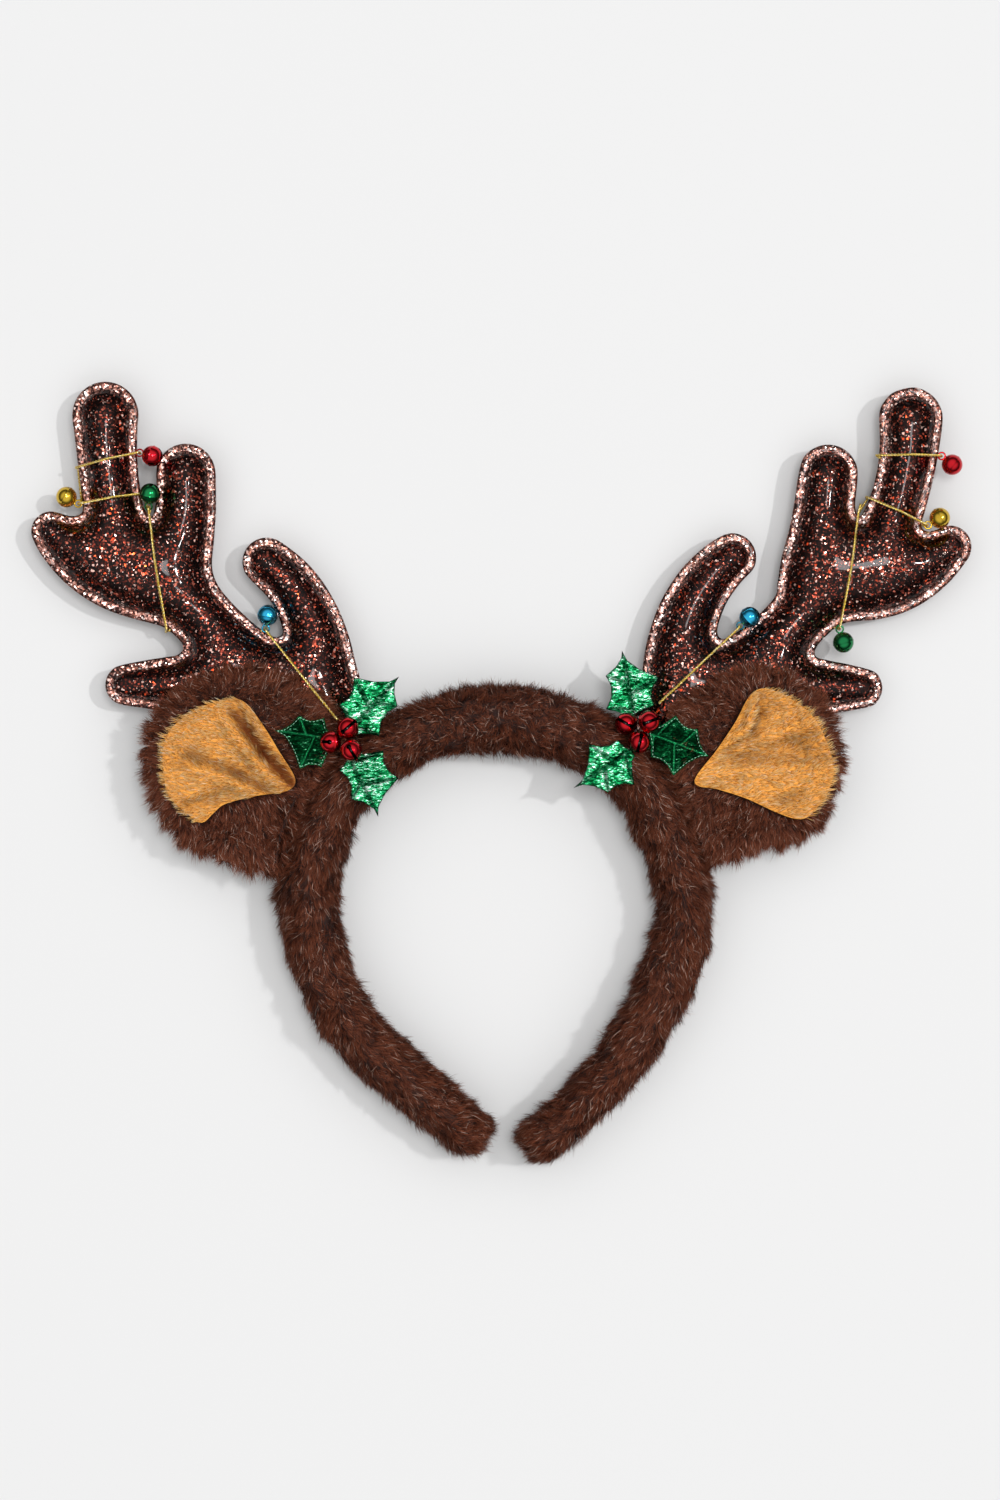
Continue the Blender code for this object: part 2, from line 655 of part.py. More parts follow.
def ridge_points(strokes, field):
    """Points along the middle of each tine, where its padding is highest."""
    points = []
    for root, bend, tip in strokes:
        length = np.linalg.norm((bend - root)[:2]) + np.linalg.norm((tip - bend)[:2])
        share = np.linspace(1.0, 0.0, max(2, int(length / ANTLER_GRID) + 1))[:, None]
        line = (1 - share) ** 2 * root + 2 * share * (1 - share) * bend + share ** 2 * tip
        points.append(line[:, :2])
    points = np.vstack(points)
    return points[field(points) < -FLANGE_WIDTH * 1.6]


def apart(points, spacing):
    """Keeps the points that lie clear of those already kept."""
    kept = []
    for point in points:
        if all(np.hypot(*(point - other)) > spacing for other in kept):
            kept.append(point)
    return np.array(kept)


def lining_plan(side):
    line = ear_line(side, LINING_OUTLINES)
    edge = thin_out(line, *EAR_RUNS)
    inner = spread_points(edge.min(axis=0), edge.max(axis=0), EAR_GRID * 0.85,
                          lambda grid: outline_depth(edge, grid) > 0.0032)
    return edge, inner


def shaggy_edge(line, count):
    """An outline whose points stand out and in by turns, as the tips of fur locks do."""
    ring = even_points(np.vstack([line, line[:1]]), count + 1)[:-1]
    along = np.roll(ring, -1, axis=0) - np.roll(ring, 1, axis=0)
    along /= np.linalg.norm(along, axis=1)[:, None]
    outward = np.column_stack([along[:, 1], -along[:, 0]])
    chance = np.random.default_rng(11)
    out = EAR_LOCK * np.where(np.arange(count) % 2 == 0, 0.6, -0.4)
    return ring + outward * (out * (0.7 + 0.6 * chance.random(count)))[:, None]


def build_ear(side, place, material, root, cutter, antler_tree):
    line = ear_line(side, EAR_OUTLINES)
    edge = shaggy_edge(line, 52)
    lining_edge, lining_inner = lining_plan(side)

    def free_rim(grid):
        clear_edge = outline_depth(line, grid) > EAR_RIM_RUN * 0.75
        clear_lining = outline_depth(lining_edge, grid) < -0.0030
        return clear_edge & clear_lining

    rim = spread_points(edge.min(axis=0), edge.max(axis=0), EAR_GRID * 0.8, free_rim)

    def middle(plan):
        return EAR_LEVEL + EAR_TILT * plan[:, 1]

    def under(plan):
        depth = np.maximum(outline_depth(line, plan), 0.0)
        low = middle(plan) - EAR_EDGE / 2 - EAR_BELLY * ease(depth / (2 * EAR_RIM_RUN))
        for index, (x, y) in enumerate(plan):
            top = wide_height([antler_tree], x + place[0], y + place[1], EAR_GRID)
            if top is not None:
                low[index] = max(low[index], top + 2 * GAP)
        return low

    def over(plan):
        depth = np.maximum(outline_depth(line, plan), 0.0)
        roll = EAR_RIM_RISE * np.sin(np.pi / 2 * np.clip(depth / EAR_RIM_RUN, 0, 1))
        dish = (EAR_RIM_RISE + EAR_DISH) * ease((depth - EAR_RIM_RUN) / (2.2 * EAR_RIM_RUN))
        high = middle(plan) + EAR_EDGE / 2 + roll - dish
        return np.maximum(high, under(plan) + EAR_WALL)

    mesh = plate_mesh(f"ear_{side}", [edge, lining_edge], np.vstack([rim, lining_inner]),
                      over, under)
    piece = add_object(f"ear_{side}", mesh, material, root, place)
    cut_by(piece, cutter)
    return tree_of(mesh, place), over


def fold_height(side, plan):
    rise = np.zeros(len(plan))
    for fold in LINING_FOLDS[side]:
        start = side_point(side, fold["start"], EAR_REACH, EAR_HEIGHT)
        end = side_point(side, fold["end"], EAR_REACH, EAR_HEIGHT)
        step = end - start
        share = np.clip((plan - start) @ step / (step @ step), 0.0, 1.0)
        away = np.linalg.norm(plan - start - share[:, None] * step, axis=1)
        ridge = 1.0 - ease(away / (fold["half"] * EAR_REACH))
        rise = np.maximum(rise, FOLD_HEIGHT * fold["height"] * ridge)
    return rise


def build_lining(side, place, material, root, cutter, ear_top):
    edge, inner = lining_plan(side)
    mesh = plate_mesh(
        f"ear_lining_{side}", [edge], inner,
        lambda plan: ear_top(plan) + GAP + LINING_THICKNESS + fold_height(side, plan),
        lambda plan: ear_top(plan) + GAP)
    piece = add_object(f"ear_lining_{side}", mesh, material, root, place)
    cut_by(piece, cutter)
    return tree_of(mesh, place)


# Holly leaves and bells
def leaf_edge(length, spines):
    """A holly leaf in its own frame: along X from its stalk, with dips between spines."""
    left = [(0.0, 0.05), spines[0], spines[1], (1.0, 0.0)]
    right = [(1.0, 0.0), spines[3], spines[2], (0.0, -0.05)]
    edge = []
    for corners in (left, right):
        for a, b in zip(corners, corners[1:]):
            a = np.array(a)
            b = np.array(b)
            toward = np.array([(a[0] + b[0]) / 2, 0.0]) - (a + b) / 2
            toward /= max(np.linalg.norm(toward), 1e-9)
            for share in (0.0, 0.33, 0.67):
                dip = SPINE_HOLLOW * 4 * share * (1 - share) * np.linalg.norm(b - a) * 2
                edge.append(a + (b - a) * share + toward * dip)
    edge.append(np.array(right[-1]))
    return np.array(edge)[::-1] * length


def build_leaf(side, row, place, material, root, trees):
    base = side_point(side, row["base"], LEAF_LENGTH, LEAF_LENGTH)
    tip = side_point(side, row["tip"], LEAF_LENGTH, LEAF_LENGTH)
    reach = tip - base
    length = float(np.hypot(*reach))
    spines = [(along, out * -SIDES[side]["turn"]) for along, out in row["spines"]]
    if SIDES[side]["turn"] > 0:
        spines = [spines[2], spines[3], spines[0], spines[1]]
    edge = leaf_edge(length, spines)
    midrib = np.array([(share * length, 0.0) for share in (0.3, 0.55, 0.8)])

    def shape(plan):
        droop = LEAF_DROOP * length * (plan[:, 0] / length) ** 2
        return LEAF_FOLD * np.abs(plan[:, 1]) + row["lift"] * plan[:, 0] - droop

    mesh = plate_mesh(f"holly_leaf_{side}_{row['leaf']}", [edge], midrib,
                      lambda plan: shape(plan) + LEAF_THICKNESS, shape)
    heading = math.atan2(reach[1], reach[0])
    turn = np.array([[math.cos(heading), -math.sin(heading)],
                     [math.sin(heading), math.cos(heading)]])
    probes = np.vstack([edge, spread_points(edge.min(axis=0), edge.max(axis=0), 0.0018,
                                            lambda grid: outline_depth(edge, grid) > 0)])
    world = probes @ turn.T + base + np.array(place[:2])
    level = wide_height(trees, place[0], place[1], SPRIG_SEAT) + GAP
    for (x, y), rise in zip(world, shape(probes)):
        top = wide_height(trees, x, y, 0.0008)
        if top is not None:
            level = max(level, top + GAP - rise)
    spot = (place[0] + base[0], place[1] + base[1], level)
    leaf = add_object(mesh.name, mesh, material, root, spot)
    leaf.rotation_euler = (0.0, 0.0, heading)
    move = Matrix.Translation(spot) @ Matrix.Rotation(heading, 4, "Z")
    points = [move @ vertex.co for vertex in mesh.vertices]
    return BVHTree.FromPolygons(points, [tuple(face.vertices) for face in mesh.polygons])


def boolean_mesh(name, body, steps):
    """Runs Boolean steps on a scratch object and returns the mesh that they leave."""
    work = bpy.data.objects.new(name, body)
    bpy.context.scene.collection.objects.link(work)
    tools = []
    for operation, mesh in steps:
        tool = bpy.data.objects.new("tool", mesh)
        bpy.context.scene.collection.objects.link(tool)
        step = work.modifiers.new("step", "BOOLEAN")
        step.operation = operation
        step.solver = "EXACT"
        step.object = tool
        tools.append(tool)
    bpy.context.view_layer.update()
    shaped = bpy.data.meshes.new_from_object(
        work.evaluated_get(bpy.context.evaluated_depsgraph_get()))
    shaped.name = name
    for thing in tools + [work]:
        bpy.data.objects.remove(thing, do_unlink=True)
    return shaped


def ball_mesh(radius, around, rings, twist=0.0):
    work = bmesh.new()
    bmesh.ops.create_uvsphere(work, u_segments=around, v_segments=rings, radius=radius,
                              matrix=Matrix.Rotation(twist, 4, "Z"))
    mesh = bpy.data.meshes.new("ball")
    work.to_mesh(mesh)
    work.free()
    return mesh


def ring_mesh(radius, wire, around, sides, matrix):
    points = []
    faces = []
    for turn in range(around):
        big = 2 * math.pi * turn / around
        for step in range(sides):
            small = 2 * math.pi * step / sides
            reach = radius + wire * math.cos(small)
            points.append(matrix @ Vector((reach * math.cos(big), reach * math.sin(big),
                                           wire * math.sin(small))))
            after = (turn + 1) % around * sides
            beside = (step + 1) % sides
            faces.append((turn * sides + step, after + step, after + beside,
                          turn * sides + beside))
    return outward_faces(mesh_from("ring", points, faces))


def slot_mesh(radius):
    work = bmesh.new()
    size = Matrix.Diagonal((2.2 * radius, SLOT_WIDTH, radius * SLOT_DEPTH + radius, 1.0))
    drop = Matrix.Translation((0.0, 0.0, -radius - radius * (1 - SLOT_DEPTH) / 2))
    bmesh.ops.create_cube(work, size=1.0, matrix=drop @ size)
    mesh = bpy.data.meshes.new("slot")
    work.to_mesh(mesh)
    work.free()
    return mesh


def bell_mesh(name, diameter, with_loop):
    """A hollow ball, slotted from below, with a wire loop on top where it is threaded."""
    radius = diameter / 2
    steps = [("DIFFERENCE", ball_mesh(radius - BELL_WALL, 8, 4, 0.3)),
             ("DIFFERENCE", slot_mesh(radius))]
    if with_loop:
        stand = Matrix.Translation((0.0, 0.0, loop_offset()))
        turn = Matrix.Rotation(math.pi / 2, 4, "X")
        steps.append(("UNION", ring_mesh(LOOP_RADIUS, LOOP_WIRE, 10, 5, stand @ turn)))
    return boolean_mesh(name, ball_mesh(radius, 10, 5), steps)


def loop_offset():
    """Centre of the bell to centre of its loop, whose wire sinks into the ball's wall."""
    return BELL_DIAMETER / 2 + LOOP_RADIUS - LOOP_WIRE * 0.3


def bell_object(name, mesh, material, root, spot, toward, loop_axis):
    """Places a bell with its loop along toward and the loop's hole along loop_axis."""
    up = Vector(toward).normalized()
    hole = Vector(loop_axis)
    hole = (hole - up * hole.dot(up)).normalized()
    third = hole.cross(up)
    turn = Matrix((third, hole, up)).transposed().to_4x4()
    bell = add_object(name, mesh.copy(), material, root, spot)
    bell.rotation_euler = turn.to_euler()
    return bell


def build_berries(side, place, mesh, material, root, trees):
    """Three slotted bells in a cluster on the leaves, touching but for the gap."""
    out = (BERRY_DIAMETER + GAP) / math.sqrt(3)
    for index, (heading, lean) in enumerate(BERRY_SLOTS[side]):
        around = math.radians(BERRY_START[side] + 120.0 * index)
        x = place[0] + out * math.cos(around)
        y = place[1] + out * math.sin(around)
        z = ball_height(trees, x, y, BERRY_DIAMETER / 2) + 1.5 * GAP
        face = math.radians(heading)
        tip = math.radians(lean)
        slot = Vector((math.cos(face) * math.cos(tip), math.sin(face) * math.cos(tip),
                       math.sin(tip)))
        across = Vector((-math.sin(face), math.cos(face), 0.0))
        bell_object(f"berry_{side}_{index + 1}", mesh, material, root, (x, y, z),
                    -slot, across)


# The gold cord
def edge_turn(field, spot, place, carries_bell, from_above):
    """Points round the rim of the antler, from one face to the other. Where the cord
    carries a bell it stands higher, so that the bell's loop clears the rim."""
    stand = CORD_DIAMETER / 2 + 2 * GAP
    top = ANTLER_LEVEL + FLANGE_THICKNESS / 2
    low = ANTLER_LEVEL - FLANGE_THICKNESS / 2
    loop = top + LOOP_WIRE + GAP + 0.8 * LOOP_RADIUS
    if carries_bell:
        steps = ((0.8, loop + LOOP_RADIUS), (1.0, loop), (1.0, low), (0.3, low - stand))
    else:
        steps = ((0.3, top + stand), (1.0, ANTLER_LEVEL), (0.3, low - stand))
    points = []
    for share, level in steps:
        x, y = settle(field, stand * share, np.array(spot))
        points.append((x + place[0], y + place[1], level))
    return points if from_above else points[::-1]


def taut_span(start, end, trees, upper):
    """Points of a string pulled tight over, or under, the solids between two places."""
    start = np.array(start)
    end = np.array(end)
    length = np.linalg.norm((end - start)[:2])
    way = 1.0 if upper else -1.0
    shares = np.linspace(0.0, 1.0, max(6, int(length / CORD_PROBE)))
    heights = [start[2] * way]
    for share in shares[1:-1]:
        x, y = (start + (end - start) * share)[:2]
        found = wide_height(trees, x, y, CORD_DIAMETER, upper)
        bare = -1.0
        heights.append(bare if found is None else found * way + CORD_DIAMETER / 2 + GAP)
    heights.append(end[2] * way)
    hull = [0]
    for index in range(1, len(shares)):
        while len(hull) > 1:
            before, last = hull[-2], hull[-1]
            run = shares[index] - shares[before]
            rise = heights[index] - heights[before]
            if (heights[last] - heights[before]) * run > rise * (shares[last] - shares[before]):
                break
            hull.pop()
        hull.append(index)
    points = []
    for before, after in zip(hull, hull[1:]):
        stretch = (shares[after] - shares[before]) * length
        parts = max(1, round(stretch / CORD_STEP))
        for part in range(parts):
            share = np.interp(part / parts, (0, 1), (shares[before], shares[after]))
            level = np.interp(part / parts, (0, 1), (heights[before], heights[after]))
            points.append((*(start + (end - start) * share)[:2], level * way))
    return points[1:]


def cord_path(side, place, field, antler_tree, trees):
    """The cord's points, and for each bell its loop's place and the cord's heading there."""
    route = CORD_ROUTES[side]
    radius = CORD_DIAMETER / 2
    start = side_point(side, route[0]["at"], ANTLER_REACH, ANTLER_HEIGHT)
    x, y = start[0] + place[0], start[1] + place[1]
    points = [(x, y, wide_height(trees, x, y, 2 * radius) + radius + GAP)]
    above = True
    bells = []
    for stop in route[1:]:
        spot = side_point(side, stop["at"], ANTLER_REACH, ANTLER_HEIGHT)
        carries_bell = stop["kind"] == "loop"
        turn = edge_turn(field, spot, place, carries_bell, above)
        over = trees if above else [antler_tree]
        points += taut_span(points[-1], turn[0], over, above)
        if carries_bell:
            loop = 1 if above else 2
            bells.append({"stop": stop, "at": np.array(turn[loop]),
                          "along": np.array(turn[loop + 1]) - np.array(turn[loop - 1])})
        points += turn
        above = not above
    return points, bells


def build_cord(side, points, material, root):
    line = bpy.data.curves.new(f"gold_cord_{side}", "CURVE")
    line.dimensions = "3D"
    line.bevel_depth = CORD_DIAMETER / 2
    line.bevel_resolution = 2
    line.render_resolution_u = 0
    line.use_fill_caps = True
    spline = line.splines.new("POLY")
    spline.points.add(len(points) - 1)
    for point, spot in zip(spline.points, points):
        point.co = (*spot, 1.0)
    add_object(f"gold_cord_{side}", line, material, root)


def build_cord_bells(side, bells, meshes, root, trees):
    for bell in bells:
        stop = bell["stop"]
        turn = SIDES[side]["turn"]
        heading = math.radians(stop["heading"])
        flat = np.array([math.cos(heading), math.sin(heading)])
        for climb in range(-4, 84, 2):
            lean = math.radians(climb)
            toward = np.array([*(flat * math.cos(lean)), math.sin(lean)])
            spot = bell["at"] + toward * loop_offset()
            level = ball_height(trees, spot[0], spot[1], BELL_DIAMETER / 2)
            if level is None or spot[2] > level + GAP:
                break
        colour = stop["bell"]
        mesh, material = meshes[colour]
        bell_object(f"bell_{side}_{colour}", mesh, material, root, spot, -toward,
                    bell["along"] * turn)


def centre_on_floor(root):
    """Moves the whole part so that its box stands on the origin by its base's middle."""
    bpy.context.view_layer.update()
    depsgraph = bpy.context.evaluated_depsgraph_get()
    low = np.full(3, 1e9)
    high = np.full(3, -1e9)
    for piece in root.children:
        if piece.hide_render:
            continue
        solid = piece.evaluated_get(depsgraph)
        mesh = solid.to_mesh()
        points = np.array([solid.matrix_world @ vertex.co for vertex in mesh.vertices])
        low = np.minimum(low, points.min(axis=0))
        high = np.maximum(high, points.max(axis=0))
        solid.to_mesh_clear()
    root.location = (-(low[0] + high[0]) / 2, -(low[1] + high[1]) / 2, -low[2])


def main():
    clear_scene()
    materials = {name: make_material(name) for name in COLOURS}
    root = bpy.data.objects.new("headband", None)
    bpy.context.scene.collection.objects.link(root)

    band = tube_mesh("fur_band", band_shape(BAND_RINGS, BAND_SIDES, FUR_LOCK_DEPTH, 0.0))
    outward_faces(band)
    add_object("fur_band", band, materials["brown_fur"], root)
    band_tree = tree_of(band, (0.0, 0.0, 0.0))
    seat = tube_mesh("band_seat", band_shape(CUTTER_RINGS, CUTTER_SIDES, 0.0, SEAT_GAP))
    cutter = add_object("band_seat", outward_faces(seat), None, root)
    cutter.hide_render = True
    cutter.display_type = "WIRE"

    berry = bell_mesh("berry", BERRY_DIAMETER, False)
    bells = {}
    for colour in ("red", "blue", "green", "gold"):
        bells[colour] = (bell_mesh(f"{colour}_bell", BELL_DIAMETER, True),
                         materials[f"{colour}_bell"])

    for side in SIDES:
        anchor = side_anchor(side)
        place = (float(anchor[0]), float(anchor[1]), 0.0)
        antler_tree, field = build_antler(side, place, materials["glitter_vinyl"], root,
                                          cutter)
        ear_tree, ear_top = build_ear(side, place, materials["brown_fur"], root, cutter,
                                      antler_tree)
        lining_tree = build_lining(side, place, materials["tan_velboa"], root, cutter,
                                   ear_top)
        trees = [band_tree, antler_tree, ear_tree, lining_tree]
        for row in HOLLY[side]:
            trees.append(build_leaf(side, row, place, materials["green_foil"], root, trees))
        build_berries(side, place, berry, materials["red_bell"], root, trees)
        points, loops = cord_path(side, place, field, antler_tree, trees)
        build_cord(side, points, materials["gold_cord"], root)
        build_cord_bells(side, loops, bells, root, trees)

    centre_on_floor(root)


main()
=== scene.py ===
# %% [markdown]
# # Dressing a reindeer antler headband
#
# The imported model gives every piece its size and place: the fur band, two padded antlers,
# two ears, holly, bells and cord. This lesson gives each of them its real surface.
# Soft and fine pieces are made again as finer meshes that read their outline and their
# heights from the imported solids, so each one fills the same space as the solid it replaces.

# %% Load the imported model
import heapq
import math

import bmesh
import bpy
import numpy as np
from mathutils import Matrix, Vector, noise
from mathutils.bvhtree import BVHTree
from mathutils.geometry import delaunay_2d_cdt
from mathutils.kdtree import KDTree


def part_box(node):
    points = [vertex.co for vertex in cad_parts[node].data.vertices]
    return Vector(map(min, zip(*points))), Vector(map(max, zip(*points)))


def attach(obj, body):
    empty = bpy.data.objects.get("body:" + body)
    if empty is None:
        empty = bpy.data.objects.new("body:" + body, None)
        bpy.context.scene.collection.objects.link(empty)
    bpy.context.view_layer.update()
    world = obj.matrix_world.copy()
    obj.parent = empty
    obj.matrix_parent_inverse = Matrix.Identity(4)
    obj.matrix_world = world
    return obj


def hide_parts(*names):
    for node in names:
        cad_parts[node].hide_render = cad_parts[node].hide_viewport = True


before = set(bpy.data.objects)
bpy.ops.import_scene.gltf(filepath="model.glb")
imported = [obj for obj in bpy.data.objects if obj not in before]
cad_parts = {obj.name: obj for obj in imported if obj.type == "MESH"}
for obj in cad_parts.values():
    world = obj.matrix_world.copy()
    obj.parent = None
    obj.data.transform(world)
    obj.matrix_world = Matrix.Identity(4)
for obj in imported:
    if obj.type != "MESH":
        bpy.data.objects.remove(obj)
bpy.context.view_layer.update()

MM = 0.001
SIDES = ("left", "right")
print("pieces in the model:", len(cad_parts))


# %% [markdown]
# The photograph looks straight down on a pale table. A long lens high above it gives the
# same flat view, in which an upright side hardly shows. The frame is 1000 by 1500 pixels,
# and the bells' known size makes one pixel 0.368 mm on the table. The headband lies turned
# by less than a degree in the picture, so the camera is turned by as much.

# %% Camera over the table
PIXEL = 0.368 * MM
FRAME_HEIGHT = 1500 * PIXEL
FRAME_CENTRE = Vector((-1.6 * MM, 7.8 * MM, 0.0))
CAMERA_HEIGHT = 1.45
CAMERA_TURN = -0.015
SENSOR = 36.0

camera_data = bpy.data.cameras.new("camera")
camera = bpy.data.objects.new("camera", camera_data)
bpy.context.scene.collection.objects.link(camera)
camera.location = FRAME_CENTRE + Vector((0.0, 0.0, CAMERA_HEIGHT))
camera.rotation_euler = (0.0, 0.0, CAMERA_TURN)
camera_data.sensor_fit = "VERTICAL"
camera_data.sensor_height = SENSOR
camera_data.lens = SENSOR * CAMERA_HEIGHT / FRAME_HEIGHT
camera_data.clip_end = 10.0
bpy.context.scene.camera = camera
bpy.context.scene.view_settings.view_transform = "Standard"
print("lens", round(camera_data.lens), "mm")


# %% [markdown]
# Colours are written as a designer reads them off a screen, in sRGB hex, and turned to the
# linear values that the shaders work in. One helper adds a node with its settings and links.

# %% Colours and nodes
def linear(hex_code, alpha=1.0):
    values = [int(hex_code[k:k + 2], 16) / 255 for k in (1, 3, 5)]
    values = [v / 12.92 if v <= 0.04045 else ((v + 0.055) / 1.055) ** 2.4 for v in values]
    return (*values, alpha)


def add_node(tree, kind, settings=None, inputs=None, links=None):
    """Adds a node; settings are its own, inputs its sockets' values, links its feeds."""
    node = tree.nodes.new(kind)
    for name, value in (settings or {}).items():
        setattr(node, name, value)
    for name, value in (inputs or {}).items():
        node.inputs[name].default_value = value
    for name, source in (links or {}).items():
        tree.links.new(source, node.inputs[name])
    return node


def new_material(name, **inputs):
    """A Principled material; inputs are values of its sockets, with _ for a space."""
    material = bpy.data.materials.new(name)
    material.use_nodes = True
    shader = material.node_tree.nodes["Principled BSDF"]
    for socket, value in inputs.items():
        shader.inputs[socket.replace("_", " ")].default_value = value
    return material, material.node_tree, shader


def ramp(tree, source, stops, mode="LINEAR"):
    node = add_node(tree, "ShaderNodeValToRGB", links={"Fac": source})
    node.color_ramp.interpolation = mode
    points = node.color_ramp.elements
    while len(points) < len(stops):
        points.new(0.5)
    for point, (place, colour) in zip(points, stops):
        point.position = place
        point.color = linear(colour)
    return node.outputs["Color"]


# %% [markdown]
# The table is plain pale card. A small hard light high on the right gives a third of its
# light and throws the crisp short shadows to the left. The rest comes from a pale ceiling
# over dark walls, and from a soft box beside the camera. What faces up mirrors the ceiling
# or the box, and slopes mirror the walls, which gives glossy vinyl and foil their contrast.

# %% Table and studio light
CARD = "#E3E3E3"
KEY_FROM = (0.60, 0.14, 1.0)
KEY_POWER = 0.72
KEY_ANGLE = 2.0
BOX_FROM = (0.35, 0.30, 3.0)
BOX_SIZE = 0.8
BOX_POWER = 24.0
CEILING = 1.02
WALLS = 0.12
HORIZON = (0.30, 0.85)
TABLE_SIZE = 6.0
TABLE_GAP = 0.4 * MM


def add_light(name, kind, place, aim, **settings):
    data = bpy.data.lights.new(name, kind)
    for key, value in settings.items():
        setattr(data, key, value)
    light = bpy.data.objects.new(name, data)
    bpy.context.scene.collection.objects.link(light)
    light.location = place
    light.rotation_euler = (Vector(aim) - Vector(place)).to_track_quat("-Z", "Y").to_euler()
    return light


add_light("key", "SUN", KEY_FROM, (0, 0, 0), energy=KEY_POWER, angle=math.radians(KEY_ANGLE))
add_light("soft_box", "AREA", BOX_FROM, FRAME_CENTRE, energy=BOX_POWER, shape="DISK",
          size=BOX_SIZE)

world = bpy.data.worlds.new("studio")
bpy.context.scene.world = world
world.use_nodes = True
sky = world.node_tree
way_up = add_node(sky, "ShaderNodeSeparateXYZ", links={
    "Vector": add_node(sky, "ShaderNodeTexCoord").outputs["Generated"]})
upward = add_node(sky, "ShaderNodeMapRange", {"interpolation_type": "SMOOTHSTEP"},
                  {"From Min": HORIZON[0], "From Max": HORIZON[1], "To Min": WALLS,
                   "To Max": CEILING}, {"Value": way_up.outputs["Z"]})
sky.nodes["Background"].inputs["Color"].default_value = linear("#FFFFFF")
sky.links.new(upward.outputs["Result"], sky.nodes["Background"].inputs["Strength"])

card = new_material("pale_card", Base_Color=linear(CARD), Roughness=0.9,
                    Specular_IOR_Level=0.0)[0]
bpy.ops.mesh.primitive_plane_add(size=TABLE_SIZE, location=(0.0, 0.0, -TABLE_GAP))
table = bpy.context.object
table.name = "table"
table.data.materials.append(card)
print("lights:", [light.name for light in bpy.data.lights])


# %% [markdown]
# Each finer piece starts from its solid. These helpers read a solid's points once, merge
# the doubles that the file format makes, and find the outline that it shows from above.

# %% Reading the solids
SAME = 0.001 * MM
LOOKS_UP = 0.02


def solid_of(name):
    """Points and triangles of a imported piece, with doubled points merged."""
    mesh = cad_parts[name].data
    mesh.calc_loop_triangles()
    points = np.array([v.co for v in mesh.vertices])
    faces = np.array([t.vertices for t in mesh.loop_triangles])
    _, first, back = np.unique(np.round(points / SAME).astype(np.int64), axis=0,
                               return_index=True, return_inverse=True)
    back = back.reshape(-1)
    return points[first], back[faces]


def face_facts(points, faces):
    a, b, c = (points[faces[:, k]] for k in range(3))
    cross = np.cross(b - a, c - a)
    size = np.linalg.norm(cross, axis=1)
    return (a + b + c) / 3, cross / np.maximum(size, 1e-15)[:, None], size / 2


def outline_from_above(name):
    """The longest closed edge of the faces that look up, anticlockwise in plan."""
    points, faces = solid_of(name)
    _, normals, _ = face_facts(points, faces)
    up = faces[normals[:, 2] > LOOKS_UP]
    edges = {(int(a), int(b)) for tri in up for a, b in zip(tri, np.roll(tri, -1))}
    follow = {a: b for a, b in edges if (b, a) not in edges}
    best = []
    while follow:
        start, spot = follow.popitem()
        loop = [start]
        while spot != start and spot in follow:
            loop.append(spot)
            spot = follow.pop(spot)
        best = max(best, loop, key=len)
    return points[best][:, :2]


print("band outline points:", len(outline_from_above("fur_band")))


# %% [markdown]
# A finer mesh needs a smooth outline, and each of its spots needs to know how deep inside
# that outline it lies. A smooth curve is drawn through the solid's corner points and read
# at even steps. The same curve serves for the cord, in space.

# %% Smooth lines and depths
CURVE_STEPS = 12
BATCH = 2000


def curve_through(line, slack):
    """A smooth curve through all of a line's points but its first and its last."""
    t = np.linspace(0, 1, CURVE_STEPS, endpoint=False)[:, None]
    bends = []
    for a, b, c, d in zip(line, line[1:], line[2:], line[3:]):
        out, back = (c - a) * slack, (d - b) * slack
        bends.append((2 * t ** 3 - 3 * t ** 2 + 1) * b + (t ** 3 - 2 * t ** 2 + t) * out
                     + (-2 * t ** 3 + 3 * t ** 2) * c + (t ** 3 - t ** 2) * back)
    return np.vstack(bends)


def run_along(line):
    """The length of a line up to each of its points."""
    return np.concatenate([[0], np.cumsum(np.linalg.norm(np.diff(line, axis=0), axis=1))])


def read_at(line, run, stops):
    return np.column_stack([np.interp(stops, run, axis) for axis in line.T])


def resample(loop, spacing):
    """A closed smooth curve through the loop's points, read at even steps."""
    line = curve_through(np.vstack([loop[-1], loop, loop[:2]]), 0.5)
    line = np.vstack([line, line[:1]])
    run = run_along(line)
    count = max(8, int(run[-1] / spacing))
    return read_at(line, run, np.linspace(0, run[-1], count, endpoint=False))


def depth_in(loop, spots):
    """Depth of each spot inside a loop, negative outside, and the nearest edge point."""
    start = loop
    step = np.roll(loop, -1, axis=0) - start
    depth = np.empty(len(spots))
    near = np.empty((len(spots), 2))
    for first in range(0, len(spots), BATCH):
        part = spots[first:first + BATCH]
        rel = part[:, None, :] - start[None]
        share = np.clip((rel * step).sum(2) / np.maximum((step ** 2).sum(1), 1e-16), 0, 1)
        gaps = rel - share[:, :, None] * step
        away = np.linalg.norm(gaps, axis=2)
        pick = away.argmin(axis=1)
        rows = np.arange(len(part))
        rises = (start[:, 1] > part[:, 1:2]) != (start[:, 1] + step[:, 1] > part[:, 1:2])
        slope = np.where(np.abs(step[:, 1]) < 1e-12, 1e-12, step[:, 1])
        cross = start[:, 0] + (part[:, 1:2] - start[:, 1]) / slope * step[:, 0]
        inside = (rises & (part[:, 0:1] < cross)).sum(axis=1) % 2 == 1
        depth[first:first + BATCH] = np.where(inside, 1, -1) * away[rows, pick]
        near[first:first + BATCH] = part - gaps[rows, pick]
    return depth, near


